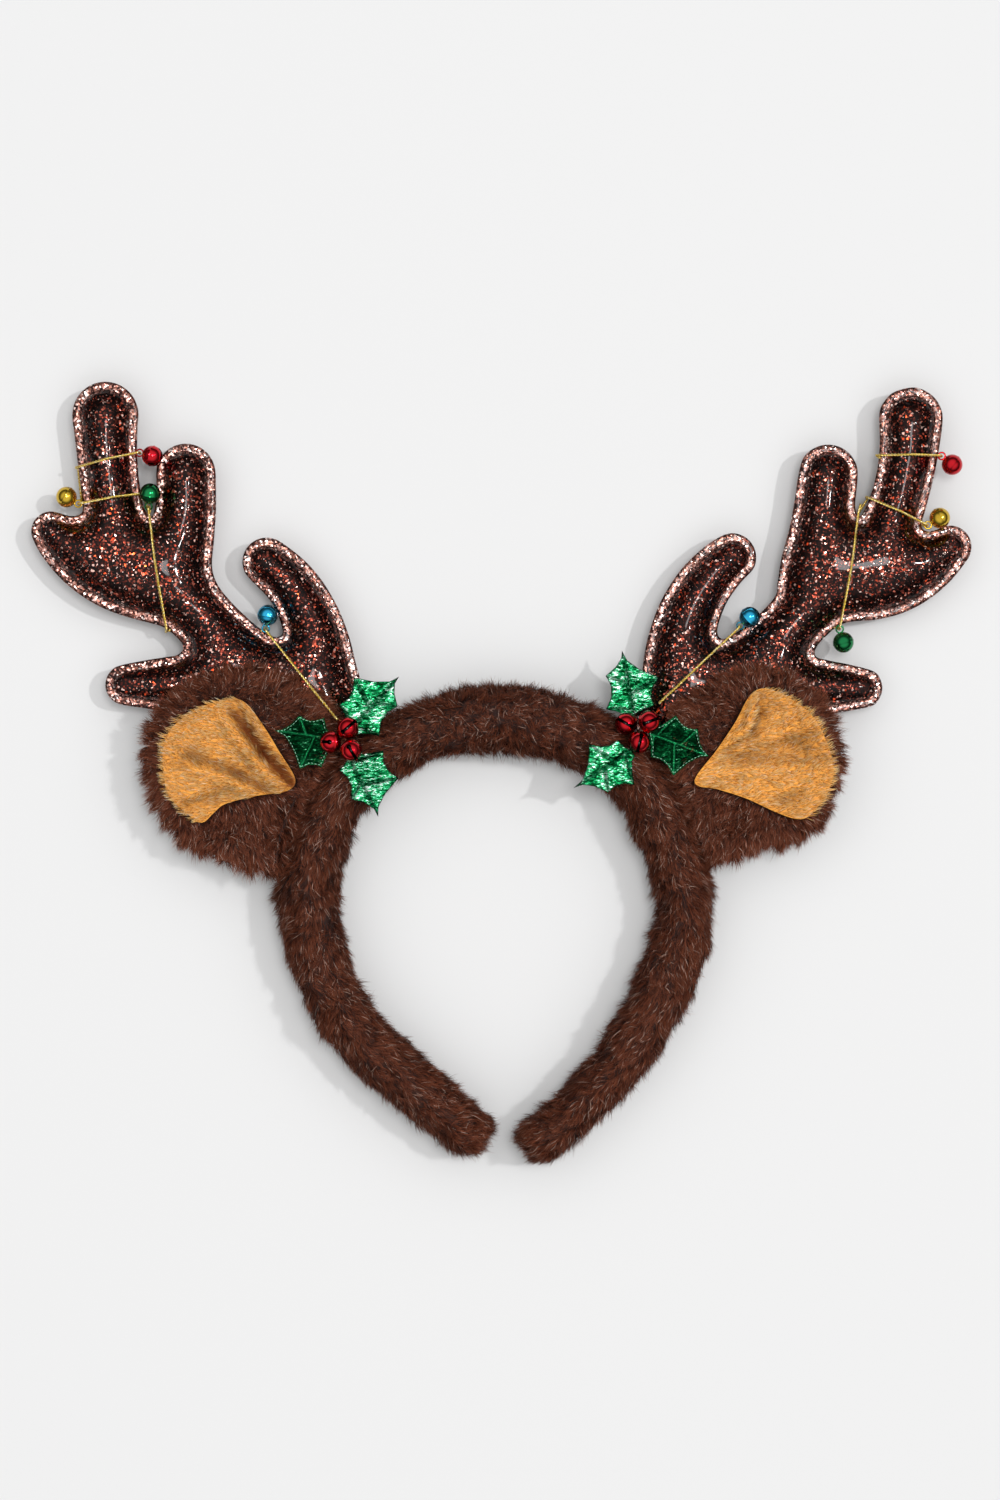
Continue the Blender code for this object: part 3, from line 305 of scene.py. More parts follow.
def nearest(spots, wanted):
    """For each wanted place, which of the spots lies nearest, in plan or in space."""
    finder = KDTree(len(spots))
    for index, spot in enumerate(spots):
        finder.insert((*spot, 0)[:3], index)
    finder.balance()
    return np.array([finder.find((*place, 0)[:3])[1] for place in wanted])


def ease(share):
    """From 0 to 1 with a soft start and a soft end."""
    share = np.clip(share, 0, 1)
    return share * share * (3 - 2 * share)


def falloff(away, width):
    """1 on a line, and fading to nothing about two widths beside it."""
    return np.exp(-(away / width) ** 2)


# %% [markdown]
# A soft piece takes its heights from its solid too: a ray straight down finds the top, and
# one straight up the underside. The mean over a small disc melts the solid's facets away.

# %% Heights of a solid
def tree_of(name):
    points, faces = solid_of(name)
    return BVHTree.FromPolygons([Vector(p) for p in points], [tuple(f) for f in faces])


def heights(tree, plan, up=True):
    """Height of a solid's top, or of its underside, at each spot; nan beside it."""
    way = -1.0 if up else 1.0
    found = np.full(len(plan), np.nan)
    for index, (x, y) in enumerate(plan):
        hit = tree.ray_cast(Vector((x, y, -way)), Vector((0, 0, way)))[0]
        if hit is not None:
            found[index] = hit.z
    return found


def soft_heights(tree, plan, reach, up=True):
    """The same, averaged over a small disc."""
    total = []
    for turn in range(8):
        around = turn * math.pi / 4
        for share in (0.5, 1.0):
            step = np.array([math.cos(around), math.sin(around)]) * reach * share
            total.append(heights(tree, plan + step, up))
    total.append(heights(tree, plan, up))
    return np.nanmean(total, axis=0)


# %% [markdown]
# Meshes come from arrays, because a pile of fur has tens of thousands of strands. These
# helpers turn points and triangles into an object, store a number at each point for the
# materials to read, and build a plate between two skins.

# %% From arrays to meshes
MERGE = 1e-7


def add_piece(name, points, faces, material, replaces=None):
    mesh = bpy.data.meshes.new(name)
    points = np.asarray(points, np.float32)
    faces = np.asarray(faces, np.int32)
    mesh.vertices.add(len(points))
    mesh.vertices.foreach_set("co", points.ravel())
    mesh.loops.add(faces.size)
    mesh.loops.foreach_set("vertex_index", faces.ravel())
    mesh.polygons.add(len(faces))
    mesh.polygons.foreach_set("loop_start", np.arange(0, faces.size, 3, dtype=np.int32))
    mesh.update(calc_edges=True)
    mesh.shade_smooth()
    mesh.materials.append(material)
    piece = bpy.data.objects.new(name, mesh)
    bpy.context.scene.collection.objects.link(piece)
    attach(piece, "root")
    if replaces:
        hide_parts(replaces)
    return piece


def mark_points(mesh, name, values):
    """Stores a number at each point, which a material reads by its name."""
    mark = mesh.attributes.new(name, "FLOAT", "POINT")
    mark.data.foreach_set("value", np.asarray(values, np.float32))


def grid_inside(loop, spacing, margin):
    """Spots of a triangle grid that lie at least the margin inside a loop."""
    low = loop.min(axis=0)
    high = loop.max(axis=0)
    rise = spacing * math.sqrt(3) / 2
    rows = []
    for row, y in enumerate(np.arange(low[1], high[1], rise)):
        xs = np.arange(low[0] + spacing / 2 * (row % 2), high[0], spacing)
        rows.append(np.column_stack([xs, np.full(len(xs), y)]))
    grid = np.vstack(rows)
    depth, _ = depth_in(loop, grid)
    return grid[depth > margin]


def plan_triangles(loop, inner):
    """Triangles over the plan, anticlockwise, with the loop's edges kept."""
    points = [Vector(p) for p in (*loop, *inner)]
    edges = [(k, (k + 1) % len(loop)) for k in range(len(loop))]
    flat, _, cells, *_ = delaunay_2d_cdt(points, edges, [], 1, MERGE)
    plan = np.array([(p.x, p.y) for p in flat])
    cells = np.array(cells)
    a, b, c = (plan[cells[:, k]] for k in range(3))
    area = (b - a)[:, 0] * (c - a)[:, 1] - (b - a)[:, 1] * (c - a)[:, 0]
    cells[area < 0] = cells[area < 0][:, ::-1]
    return plan, cells


# %% [markdown]
# A plate is two skins with a wall round their edge, and a tube is rings joined in a row.

# %% Plates and tubes
def two_skins(plan, cells, over, under):
    """A closed shell: the top skin, the bottom skin and the wall round their edge."""
    count = len(plan)
    edges = {(int(a), int(b)) for tri in cells for a, b in zip(tri, np.roll(tri, -1))}
    rim = [(a, b) for a, b in edges if (b, a) not in edges]
    wall = [(b, a, count + a) for a, b in rim] + [(b, count + a, count + b) for a, b in rim]
    points = np.vstack([np.column_stack([plan, over]), np.column_stack([plan, under])])
    return points, np.vstack([cells, cells[:, ::-1] + count, np.array(sorted(wall))])


def tube_faces(rings, sides, first=0):
    """Triangles of a closed tube, whose rings turn anticlockwise about its way."""
    faces = []
    for ring in range(rings - 1):
        for k in range(sides):
            a = first + ring * sides + k
            b = first + ring * sides + (k + 1) % sides
            faces += [(a, b, b + sides), (a, b + sides, a + sides)]
    last = first + (rings - 1) * sides
    for k in range(1, sides - 1):
        faces += [(first, first + k + 1, first + k), (last, last + k, last + k + 1)]
    return faces


# %% [markdown]
# The antlers are stuffed vinyl: a clear gloss sheet over dark film, with copper glitter
# between them. The flakes are little mirrors at odd tilts. Where the padding faces the
# light above, many of them flash pink and copper, and on the slopes the dark film shows.
# So each cell of a Voronoi pattern gets its own tilt and metal colour, under a smooth clear
# coat. A second, finer pattern takes its place in half of the cells. Real flakes are 0.2 to
# 0.6 mm; these are 0.68 and 0.36 mm, as coarse as the picture needs to show them. The welt
# lies flat and mirrors the light above, so a number stored at each point paints its flakes
# paler there: a painted sheen for that reflection.

# %% Glitter vinyl
FLAKE = 0.68 * MM
FINE_SHARE = 1.9
FLAKE_TILT = 0.50
FINE_FROM = 0.52


def glitter_vinyl():
    material, tree, shader = new_material(
        "copper_glitter_under_clear_vinyl", Metallic=1.0, Roughness=0.24, Coat_Weight=0.32,
        Coat_Roughness=0.07, Coat_IOR=1.54)
    place = add_node(tree, "ShaderNodeTexCoord").outputs["Object"]
    cells = add_node(tree, "ShaderNodeTexVoronoi", {"feature": "F1"},
                     {"Scale": 1 / FLAKE, "Randomness": 1.0}, {"Vector": place})
    fine = add_node(tree, "ShaderNodeTexVoronoi", {"feature": "F1"},
                    {"Scale": FINE_SHARE / FLAKE, "Randomness": 1.0}, {"Vector": place})
    pick = add_node(tree, "ShaderNodeSeparateColor", links={"Color": cells.outputs["Color"]})
    small = add_node(tree, "ShaderNodeSeparateColor", links={"Color": fine.outputs["Color"]})
    big_colour = ramp(tree, pick.outputs["Red"], (
        (0.00, "#100403"), (0.42, "#2C0E08"), (0.64, "#5C2015"), (0.77, "#9C4230"),
        (0.86, "#D4745E"), (0.93, "#FFD0C2"), (0.975, "#FF5A2C")), "CONSTANT")
    small_colour = ramp(tree, small.outputs["Green"], (
        (0.00, "#0C0302"), (0.58, "#220A06"), (0.78, "#541C12"), (0.91, "#B05A46"),
        (0.97, "#FFDCD0")), "CONSTANT")
    choice = add_node(tree, "ShaderNodeMath", {"operation": "GREATER_THAN"}, {1: FINE_FROM},
                      {0: pick.outputs["Blue"]})
    colour = add_node(tree, "ShaderNodeMix", {"data_type": "RGBA"}, None,
                      {"Factor": choice.outputs[0], 6: big_colour, 7: small_colour})
    # The welt's painted sheen: paler flake colours, mixed in by the welt number.
    welt_sheen_colours = ramp(tree, pick.outputs["Red"], (
        (0.00, "#2E120D"), (0.20, "#5E3028"), (0.40, "#96604F"), (0.60, "#BC8678"),
        (0.78, "#D8B4AA"), (0.93, "#FFF0EA")), "CONSTANT")
    welt = add_node(tree, "ShaderNodeAttribute", {"attribute_name": "welt"})
    rimmed = add_node(tree, "ShaderNodeMix", {"data_type": "RGBA"}, None,
                      {"Factor": welt.outputs["Fac"], 6: colour.outputs[2], 7: welt_sheen_colours})
    tree.links.new(rimmed.outputs[2], shader.inputs["Base Color"])
    centred = add_node(tree, "ShaderNodeVectorMath", {"operation": "SUBTRACT"},
                       {1: (0.5, 0.5, 0.5)}, {0: cells.outputs["Color"]})
    tilt = add_node(tree, "ShaderNodeVectorMath", {"operation": "SCALE"},
                    {"Scale": FLAKE_TILT}, {0: centred.outputs[0]})
    geometry = add_node(tree, "ShaderNodeNewGeometry")
    leaned = add_node(tree, "ShaderNodeVectorMath", {"operation": "ADD"}, None,
                      {0: geometry.outputs["Normal"], 1: tilt.outputs[0]})
    unit = add_node(tree, "ShaderNodeVectorMath", {"operation": "NORMALIZE"}, None,
                    {0: leaned.outputs[0]})
    tree.links.new(unit.outputs[0], shader.inputs["Normal"])
    return material


VINYL = glitter_vinyl()
print("flakes", FLAKE / MM, "and", round(FLAKE / FINE_SHARE / MM, 2), "mm")


# %% [markdown]
# An antler is two sheets of vinyl welded along a flat rim and stuffed between. The welt
# stays flat, the padding swells steeply behind it, and the pull of the weld puckers it.
# A height for each spot of a fine triangle grid shows all of that, because every part of
# the antler can be seen from above. The ear's seam presses the padding flat beneath it.

# %% Padded antlers
RIM_WIDTH = 2.9 * MM
RIM_THICKNESS = 1.8 * MM
PUFF = 9.4 * MM
PUFF_RUN = 6.6 * MM
BACK_SHARE = 0.85
BACK_SHIFT = 3 * MM
PINCH = 0.60
PINCH_RUN = 12 * MM
WELD_DEPTH = 0.14 * MM
WELD_WIDTH = 0.6 * MM
PUCKER = 0.30 * MM
PUCKER_SPACING = 6.5 * MM
PUCKER_UNEVEN = (1.7, 11 * MM)
PUCKER_AT, PUCKER_REACH = 2.4 * MM, 2.6 * MM
CREASE_DEPTH = 0.12 * MM
CREASE_AT, CREASE_WIDTH = 2.6 * MM, 0.6 * MM
EDGE_DROP, EDGE_REACH = 0.35 * MM, 0.30 * MM
ANTLER_GRID = 0.85 * MM
ROUND_OVER = 2.6 * MM


def antler_swell(depth, around, ear_depth):
    """Height over the rim, from the depth inside the edge and the run along it."""
    inside = depth - RIM_WIDTH
    swell = 1 - np.exp(-np.maximum(inside, 0) / PUFF_RUN)
    height = PUFF * swell * (1 - PINCH * ease(ear_depth / PINCH_RUN))
    lag, pace = PUCKER_UNEVEN
    wave = np.sin(2 * np.pi * around / PUCKER_SPACING + lag * np.sin(around / pace))
    pucker = PUCKER * wave * falloff(inside - PUCKER_AT, PUCKER_REACH)
    crease = CREASE_DEPTH * falloff(inside - CREASE_AT, CREASE_WIDTH)
    drop = EDGE_DROP * np.exp(-depth / EDGE_REACH)
    return (height - WELD_DEPTH * falloff(inside, WELD_WIDTH) + pucker
            - crease * (swell > 0) - drop)


def melt(cells, values, free, reach, spacing):
    """Averages values with their neighbours', by each point's freedom, until creases of
    the given reach are gone."""
    a = np.concatenate([cells[:, 0], cells[:, 1], cells[:, 2]])
    b = np.concatenate([cells[:, 1], cells[:, 2], cells[:, 0]])
    count = np.maximum(np.bincount(a, minlength=len(values)), 1)
    for _ in range(max(1, round((2 * reach / spacing) ** 2))):
        mean = np.bincount(a, values[b], len(values)) / count
        values = values + 0.5 * free * (mean - values)
    return values


# %% [markdown]
# The stuffing is never quite even, so the top gets shallow dents from two sizes of noise.
# Grid spots near the weld are moved onto it, so that it shows as one clean line. The welt's
# painted sheen is paler in patches, and its inner edge drifts a little, as the glitter does
# there.

# %% Building the antlers
DENTS = ((12 * MM, 0.30 * MM), (4.5 * MM, 0.09 * MM))
DENT_LAYER = 4.0
DENTS_ON_RIM = 0.35
DENTS_FROM_EDGE = 1.5 * MM
SNAP = 0.42 * ANTLER_GRID
FREE_FROM, FREE_RUN = 0.8 * MM, 3.0 * MM
PATCHES = (7 * MM, 0.62, 0.5)
DRIFT = (3 * MM, 0.8 * MM)
DRIFT_LAYER = 3000.0
WELT_EDGE = 1.2 * MM


def noise_at(plan, size, layer):
    """Smooth noise around 0 at each spot, with bumps of the given size."""
    return np.array([noise.noise(Vector((x / size, y / size, layer))) for x, y in plan])


def snap_to_weld(spots, loop):
    depth, near = depth_in(loop, spots)
    snap = np.abs(depth - RIM_WIDTH) < SNAP
    spots[snap] = near[snap] + (spots[snap] - near[snap]) * (RIM_WIDTH / depth[snap])[:, None]
    return spots


# Painted sheen on the welt, in patches: how far its flakes are painted paler for the light
# above.
def painted_welt_sheen(plan, depth):
    size, mean, swing = PATCHES
    patchy = np.clip(mean + swing * noise_at(plan, size, 0.0), 0.2, 0.95)
    drift = DRIFT[1] * noise_at(plan, DRIFT[0], DRIFT_LAYER)
    return patchy * (1 - ease((depth - RIM_WIDTH + drift) / WELT_EDGE))


def build_antler(side):
    name = f"antler_{side}"
    loop = resample(outline_from_above(name), ANTLER_GRID)
    inner = snap_to_weld(grid_inside(loop, ANTLER_GRID, ANTLER_GRID * 0.55), loop)
    plan, cells = plan_triangles(loop, inner)
    depth, near = depth_in(loop, plan)
    depth = np.maximum(depth, 0)
    around = run_along(loop)[nearest(loop, near)]
    ear = resample(outline_from_above(f"ear_{side}"), 3 * MM)
    ear_depth = np.maximum(depth_in(ear, plan)[0], 0)
    free = ease((depth - RIM_WIDTH - FREE_FROM) / FREE_RUN)
    top, back = (melt(cells, antler_swell(depth, around + shift, ear_depth), free,
                      ROUND_OVER, ANTLER_GRID) for shift in (0, BACK_SHIFT))
    for size, dent in DENTS:
        uneven = dent * noise_at(plan, size, DENT_LAYER)
        top = top + uneven * (DENTS_ON_RIM + (1 - DENTS_ON_RIM) * free) * ease(
            depth / DENTS_FROM_EDGE)
    low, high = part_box(name)
    level = (low.z + high.z * BACK_SHARE) / (1 + BACK_SHARE)
    half = RIM_THICKNESS / 2
    points, faces = two_skins(plan, cells, level + half + top,
                              level - half - BACK_SHARE * back)
    piece = add_piece(name + "_vinyl", points, faces, VINYL, name)
    # Stores the welt's painted sheen at each point of both skins.
    mark_points(piece.data, "welt", np.tile(painted_welt_sheen(plan, depth), 2))
    print(piece.name, len(faces), "triangles, rim at", round(level / MM, 1), "mm")
    return piece


antlers = {side: build_antler(side) for side in SIDES}


# %% [markdown]
# The band and the ears are long-pile faux fur: a knitted backing with soft strands that lie
# in clumps, dark at the root and reddish brown at the tip. The dark at the root is partly the
# fur's own colour and partly painted shade, deep in the pile. The strands make the shaggy
# outline, so they are real geometry: flat ribbons that taper to a point, drawn in arrays
# and joined. They are about 5 mm long. Real hairs are 0.03 mm thick; a ribbon is 0.2 mm wide
# and stands for a wisp of them.

# %% Faux fur
PAINTED_GLINTS_FROM = 0.955


def pile_material(name, root, middle, tip, painted_glint, painted_shade, dull="#9A9A9A"):
    """Colours along a strand, darker at the root partly as painted shade, with a painted glint
    on a rare strand near its tip and painted shade in the creases.
    """
    material, tree, shader = new_material(name, Roughness=0.60)
    shader.inputs["Specular IOR Level"].default_value = 0.18
    mark = add_node(tree, "ShaderNodeAttribute", {"attribute_name": "pile"})
    parts = add_node(tree, "ShaderNodeSeparateColor", links={"Color": mark.outputs["Color"]})
    shade = ramp(tree, parts.outputs["Red"], ((0.0, root), (0.55, middle), (1.0, tip)))
    odd = ramp(tree, parts.outputs["Green"], ((0.0, dull), (0.6, "#F0F0F0"),
                                              (0.93, "#FFFFFF")))
    toned = add_node(tree, "ShaderNodeMix", {"data_type": "RGBA", "blend_type": "MULTIPLY"},
                     {"Factor": 1.0}, {6: shade, 7: odd})
    # A rare strand gets a painted glint, strongest at its tip.
    bright = add_node(tree, "ShaderNodeMath", {"operation": "GREATER_THAN"}, {1: PAINTED_GLINTS_FROM},
                      {0: parts.outputs["Green"]})
    amount = add_node(tree, "ShaderNodeMath", {"operation": "MULTIPLY"}, None,
                      {0: bright.outputs[0], 1: parts.outputs["Red"]})
    with_painted_glints = add_node(tree, "ShaderNodeMix", {"data_type": "RGBA"}, {7: linear(painted_glint)},
                       {"Factor": amount.outputs[0], 6: toned.outputs[2]})
    # Painted shade in the creases, by the strand's blue number.
    final = add_node(tree, "ShaderNodeMix", {"data_type": "RGBA"}, {7: linear(painted_shade)},
                     {"Factor": parts.outputs["Blue"], 6: with_painted_glints.outputs[2]})
    tree.links.new(final.outputs[2], shader.inputs["Base Color"])
    return material


# The fourth colour is a painted glint; the fifth, painted crease shade, is not used by the fur.
FUR = pile_material("brown_faux_fur", "#2E1107", "#743820", "#AC664A", "#F4D2C0", "#1C0C08")
# The backing's dark brown is partly the cloth's own colour and partly painted shade between the
# strands.
BACKING = new_material("knitted_fur_backing", Base_Color=linear("#2A130C"), Roughness=0.9)[0]


# %% [markdown]
# A strand leaves the backing at a slant, bends along the comb of the pile and leans to the
# middle of its clump. All strands of a piece are worked out together, point by point. Pile
# is lit like a soft solid rather than like single ribbons, so each strand takes the shading
# direction of the cloth beneath it, turned a little with its clump.

# %% Strands from arrays
STATIONS = (0.0, 0.58, 1.0)
RIBBON = np.array([(0, 1, 3), (0, 3, 2), (2, 3, 4)])
CORNERS = 5
CLUMP, BIG_CLUMP = 16, 160
RISE, CURL = 0.75, 0.45
LENGTHS = (0.65, 0.45)
CLUMP_LENGTHS = (0.85, 0.3)
CLUMP_TURN = 0.7
SOFT_TURN, SOFT_STRAY = 0.9, 0.22
LOWEST = 0.2 * MM


def random_spots(faces, weights, count, seed):
    """Triangles picked by weight, and for each a random mix of its three corners."""
    chance = np.random.default_rng(seed)
    pick = chance.choice(len(faces), count, p=weights / weights.sum())
    return faces[pick], chance.dirichlet((1, 1, 1), count)


def scatter(points, faces, keep, count, seed):
    """Random spots on some of a solid's triangles, with their normals."""
    *_, areas = face_facts(points, faces)
    picked, share = random_spots(faces, areas * keep, count, seed)
    corner = point_normals(points, faces)
    spots = np.einsum("nk,nkj->nj", share, points[picked])
    return spots, unit(np.einsum("nk,nkj->nj", share, corner[picked]))


def unit(vectors):
    return vectors / np.maximum(np.linalg.norm(vectors, axis=-1, keepdims=True), 1e-12)


def point_normals(points, faces):
    _, normals, areas = face_facts(points, faces)
    total = np.zeros((len(points), 3))
    for corner in range(3):
        np.add.at(total, faces[:, corner], normals * areas[:, None])
    return unit(total)


def clumps(roots, size, chance):
    """For each root the nearest of some seeds spread among them, and its distance."""
    seeds = chance.choice(len(roots), max(2, len(roots) // size), replace=False)
    own = nearest(roots[seeds], roots)
    return seeds, own, np.linalg.norm(roots - roots[seeds][own], axis=1)


# %% [markdown]
# A strand has five corners at three stations: two at the root, two past its middle and one
# at its tip. The random numbers are drawn for all strands of a piece at once.

# %% One pile of strands
def strands(name, roots, normals, comb, length, material, seed, stand=0.55,
            width=0.20 * MM, clump=1.8 * MM, gather=0.35, stray=0.38, sway=0.24, painted_shade=0.0):
    """Tapered ribbons. comb is the way the pile lies, stand how far it stands up, 0 to 1,
    sway how much whole clumps turn, painted_shade how much painted shade a strand gets for
    the crease it is in."""
    chance = np.random.default_rng(seed)
    count = len(roots)
    comb = comb - normals * (comb * normals).sum(1)[:, None]
    seeds, own, away = clumps(roots, CLUMP, chance)
    big_seeds, big, _ = clumps(roots, BIG_CLUMP, chance)
    turn = chance.normal(0, sway, (len(seeds), 3))[own]
    turn = turn + chance.normal(0, sway, (len(big_seeds), 3))[big]
    lean = unit(normals * stand + comb * (1 - stand) + CLUMP_TURN * turn
                + chance.normal(0, stray, (count, 3)))
    long = length * (LENGTHS[0] + LENGTHS[1] * chance.random(count))
    long = long * (CLUMP_LENGTHS[0] + CLUMP_LENGTHS[1] * chance.random(len(seeds))[own])
    bend = unit(comb - normals * 0.3 + turn + chance.normal(0, stray, (count, 3)))
    tips = roots + (lean * RISE + bend * CURL) * long[:, None]
    pull = np.clip(1.6 - away / clump, 0, 1)
    shift = (tips[seeds][own] - tips) * (gather * pull)[:, None]
    side = unit(np.cross(lean, chance.normal(0, 1, (count, 3))))
    facing = (np.cross(side, lean) * (normals + np.array([0, 0, 0.6]))).sum(axis=1)
    side = np.where(facing[:, None] < 0, -side, side)
    rows = []
    for share in STATIONS:
        spot = roots + lean * (RISE * share * long)[:, None]
        spot = spot + bend * (CURL * share ** 2 * long)[:, None] + shift * share ** 2
        half = side * (width / 2 * (1 - share) ** 0.45)
        rows += [spot - half, spot + half] if share < 1 else [spot]
    points = np.stack(rows, axis=1).reshape(-1, 3)
    points[:, 2] = np.maximum(points[:, 2], LOWEST)
    faces = (RIBBON[None] + (np.arange(count) * CORNERS)[:, None, None]).reshape(-1, 3)
    piece = add_piece(name, points, faces, material)
    soft = unit(normals + SOFT_TURN * turn + chance.normal(0, SOFT_STRAY, (count, 3)))
    piece.data.normals_split_custom_set_from_vertices(np.repeat(soft, CORNERS, axis=0))
    tone = np.zeros((count, CORNERS, 4), np.float32)
    # Red is the place along the strand; its dark root is partly painted shade. Green is a random
    # tone, blue the painted shade of the crease the strand lies in.
    tone[:, :, 0] = np.array([0, 0, STATIONS[1], STATIONS[1], 1.0])
    tone[:, :, 1] = chance.random(count)[:, None]
    tone[:, :, 2] = np.broadcast_to(painted_shade, count)[:, None]
    tone[:, :, 3] = 1
    mark = piece.data.attributes.new("pile", "FLOAT_COLOR", "POINT")
    mark.data.foreach_set("color", tone.ravel())
    print(name, len(faces), "triangles")
    return piece


# %% [markdown]
# On the band the pile stands up at the crown and is brushed from there towards both open
# ends. The middle line of the band is found from its flat underside, by averaging its
# points round the head.

# %% The band
STRAND_SHARE = 1.0
BAND_STRANDS = int(38000 * STRAND_SHARE)
BAND_PILE = 5.4 * MM
BAND_SUNK = 2.6 * MM
CROWN_SHARE = 0.12
ENDS_BELOW = -45 * MM
WINDOW = 9


def band_middle():
    points, _ = solid_of("fur_band")
    low = points[points[:, 2] < 0.05 * MM][:, :2]
    centre = (low.min(axis=0) + low.max(axis=0)) / 2
    angle = np.arctan2(low[:, 0] - centre[0], low[:, 1] - centre[1])
    order = np.argsort(angle)
    smooth = np.ones(WINDOW) / WINDOW
    return np.column_stack([np.convolve(low[order, k], smooth, "valid") for k in range(2)])


def skin_copy(name, new_name, material, shrink):
    """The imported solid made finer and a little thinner, as the backing under the pile."""
    points, faces = solid_of(name)
    piece = add_piece(new_name, points, faces, material, name)
    work = bmesh.new()
    work.from_mesh(piece.data)
    bmesh.ops.subdivide_edges(work, edges=work.edges, cuts=1, use_grid_fill=True)
    bmesh.ops.smooth_vert(work, verts=work.verts, factor=0.5, use_axis_x=True,
                          use_axis_y=True, use_axis_z=True)
    work.normal_update()
    for vertex in work.verts:
        vertex.co = vertex.co - vertex.normal * shrink
        vertex.co.z = max(vertex.co.z, 0.0)
    bmesh.ops.triangulate(work, faces=work.faces)
    work.to_mesh(piece.data)
    work.free()
    piece.data.shade_smooth()
    return piece


def build_band():
    points, faces = solid_of("fur_band")
    line = band_middle()
    crown = line[len(line) // 2]
    way = np.gradient(line, axis=0)
    way = way / np.linalg.norm(way, axis=1)[:, None]
    centres, normals, _ = face_facts(points, faces)
    band = skin_copy("fur_band", "band_backing", BACKING, 2.5 * MM)
    low, left = centres[:, 1] < ENDS_BELOW, centres[:, 0] < crown[0]
    parts = {"left_end": low & left, "right_end": low & ~left,
             "left": ~low & left, "right": ~low & ~left}
    for seed, (part, where) in enumerate(parts.items()):
        keep = where & (normals[:, 2] > -0.55)
        roots, out = scatter(points, faces, keep, BAND_STRANDS, 20 + seed)
        index = nearest(line, roots[:, :2])
        brushed = (index - len(line) / 2) / (CROWN_SHARE * len(line))
        comb = np.zeros((len(roots), 3))
        comb[:, :2] = way[index] * np.clip(brushed, -1, 1)[:, None]
        strands(f"band_fur_{part}", roots - out * BAND_SUNK, out, comb, BAND_PILE, FUR,
                40 + seed)


build_band()


# %% [markdown]
# An ear is a dished pad of the same fur. Its pile fans out from the middle of the lining,
# stands over the rim and lies across the antler where the two are sewn together. Roots on
# the steep rim start deeper, so that the pile keeps the solid's outline, and no strand
# grows on the skin that the lining covers.

# %% Ears
EAR_STRANDS = int(34000 * STRAND_SHARE)
EAR_PILE = 5.6 * MM
SHORT_SHARE = 0.8
RIM_SUNK, TOP_SUNK, SEAM_SUNK = 3.2 * MM, 1.3 * MM, 0.8 * MM
DROOP = 0.25
band_outline = resample(outline_from_above("fur_band"), 3 * MM)


def build_ear(side):
    name = f"ear_{side}"
    points, faces = solid_of(name)
    _, normals, _ = face_facts(points, faces)
    lining = resample(outline_from_above(f"ear_lining_{side}"), 2 * MM)
    skin = skin_copy(name, name + "_backing", BACKING, 2.0 * MM)
    roots, out = scatter(points, faces, normals[:, 2] > -0.5, int(EAR_STRANDS * 1.5), 60)
    covered, _ = depth_in(lining, roots[:, :2])
    bare = (covered < 0.5 * MM) | (out[:, 2] < 0.3)
    roots, out = roots[bare][:EAR_STRANDS], out[bare][:EAR_STRANDS]
    comb = roots - np.array([*lining.mean(axis=0), 0])
    comb[:, 2] = 0
    comb = unit(comb)
    comb[:, 1] -= DROOP
    by_lining, _ = depth_in(lining, roots[:, :2])
    long = EAR_PILE * np.where(by_lining > -3 * MM, SHORT_SHARE, 1.0)
    by_band, _ = depth_in(band_outline, roots[:, :2])
    sunk = np.interp(out[:, 2], (0.2, 0.8), (RIM_SUNK, TOP_SUNK))
    sunk = np.where(by_band > -6 * MM, SEAM_SUNK, sunk)[:, None]
    strands(name + "_fur", roots - out * sunk, out, comb, long, FUR, 61)


for side in SIDES:
    build_ear(side)


# %% [markdown]
# The ear's lining is velboa, a plush with a short dense pile, in a warm tan. It is cut wider
# than the dish, so it lies in folds with a crease beside the thickest of them. The cloth is
# a thin sheet over the ear, with painted shade in the creases and on the flaps beside them.
# Its 3 mm pile is strands again, which lie closer and straighter than the fur's, darker at the
# root partly as painted shade, and painted darker in the creases too.

# %% Velboa linings
# The fourth colour is a painted glint and the fifth the painted shade of the creases.
VELBOA = pile_material("tan_velboa", "#B85F12", "#FFC062", "#FFEAB8", "#FFF6E0", "#7A3404",
                       "#D8C0A0")
# The cloth's tan darkens to brown with the painted fold shade.
CLOTH, cloth_tree, cloth_shader = new_material("tan_velboa_backing", Roughness=0.9)
fold_shade_mark = add_node(cloth_tree, "ShaderNodeAttribute", {"attribute_name": "painted_fold_shade"})
cloth_tree.links.new(
    ramp(cloth_tree, fold_shade_mark.outputs["Fac"], ((0.0, "#FFB24C"), (1.0, "#6A2C02"))),
    cloth_shader.inputs["Base Color"])


# %% [markdown]
# Each fold is a crease with a ridge beside it. Its row gives the crease's start and end, as
# shares of the lining's box from its lower left corner, then the half width and the height
# in mm of the ridge, the side on which it stands, and how much painted shade lies in the
# crease and beyond it.

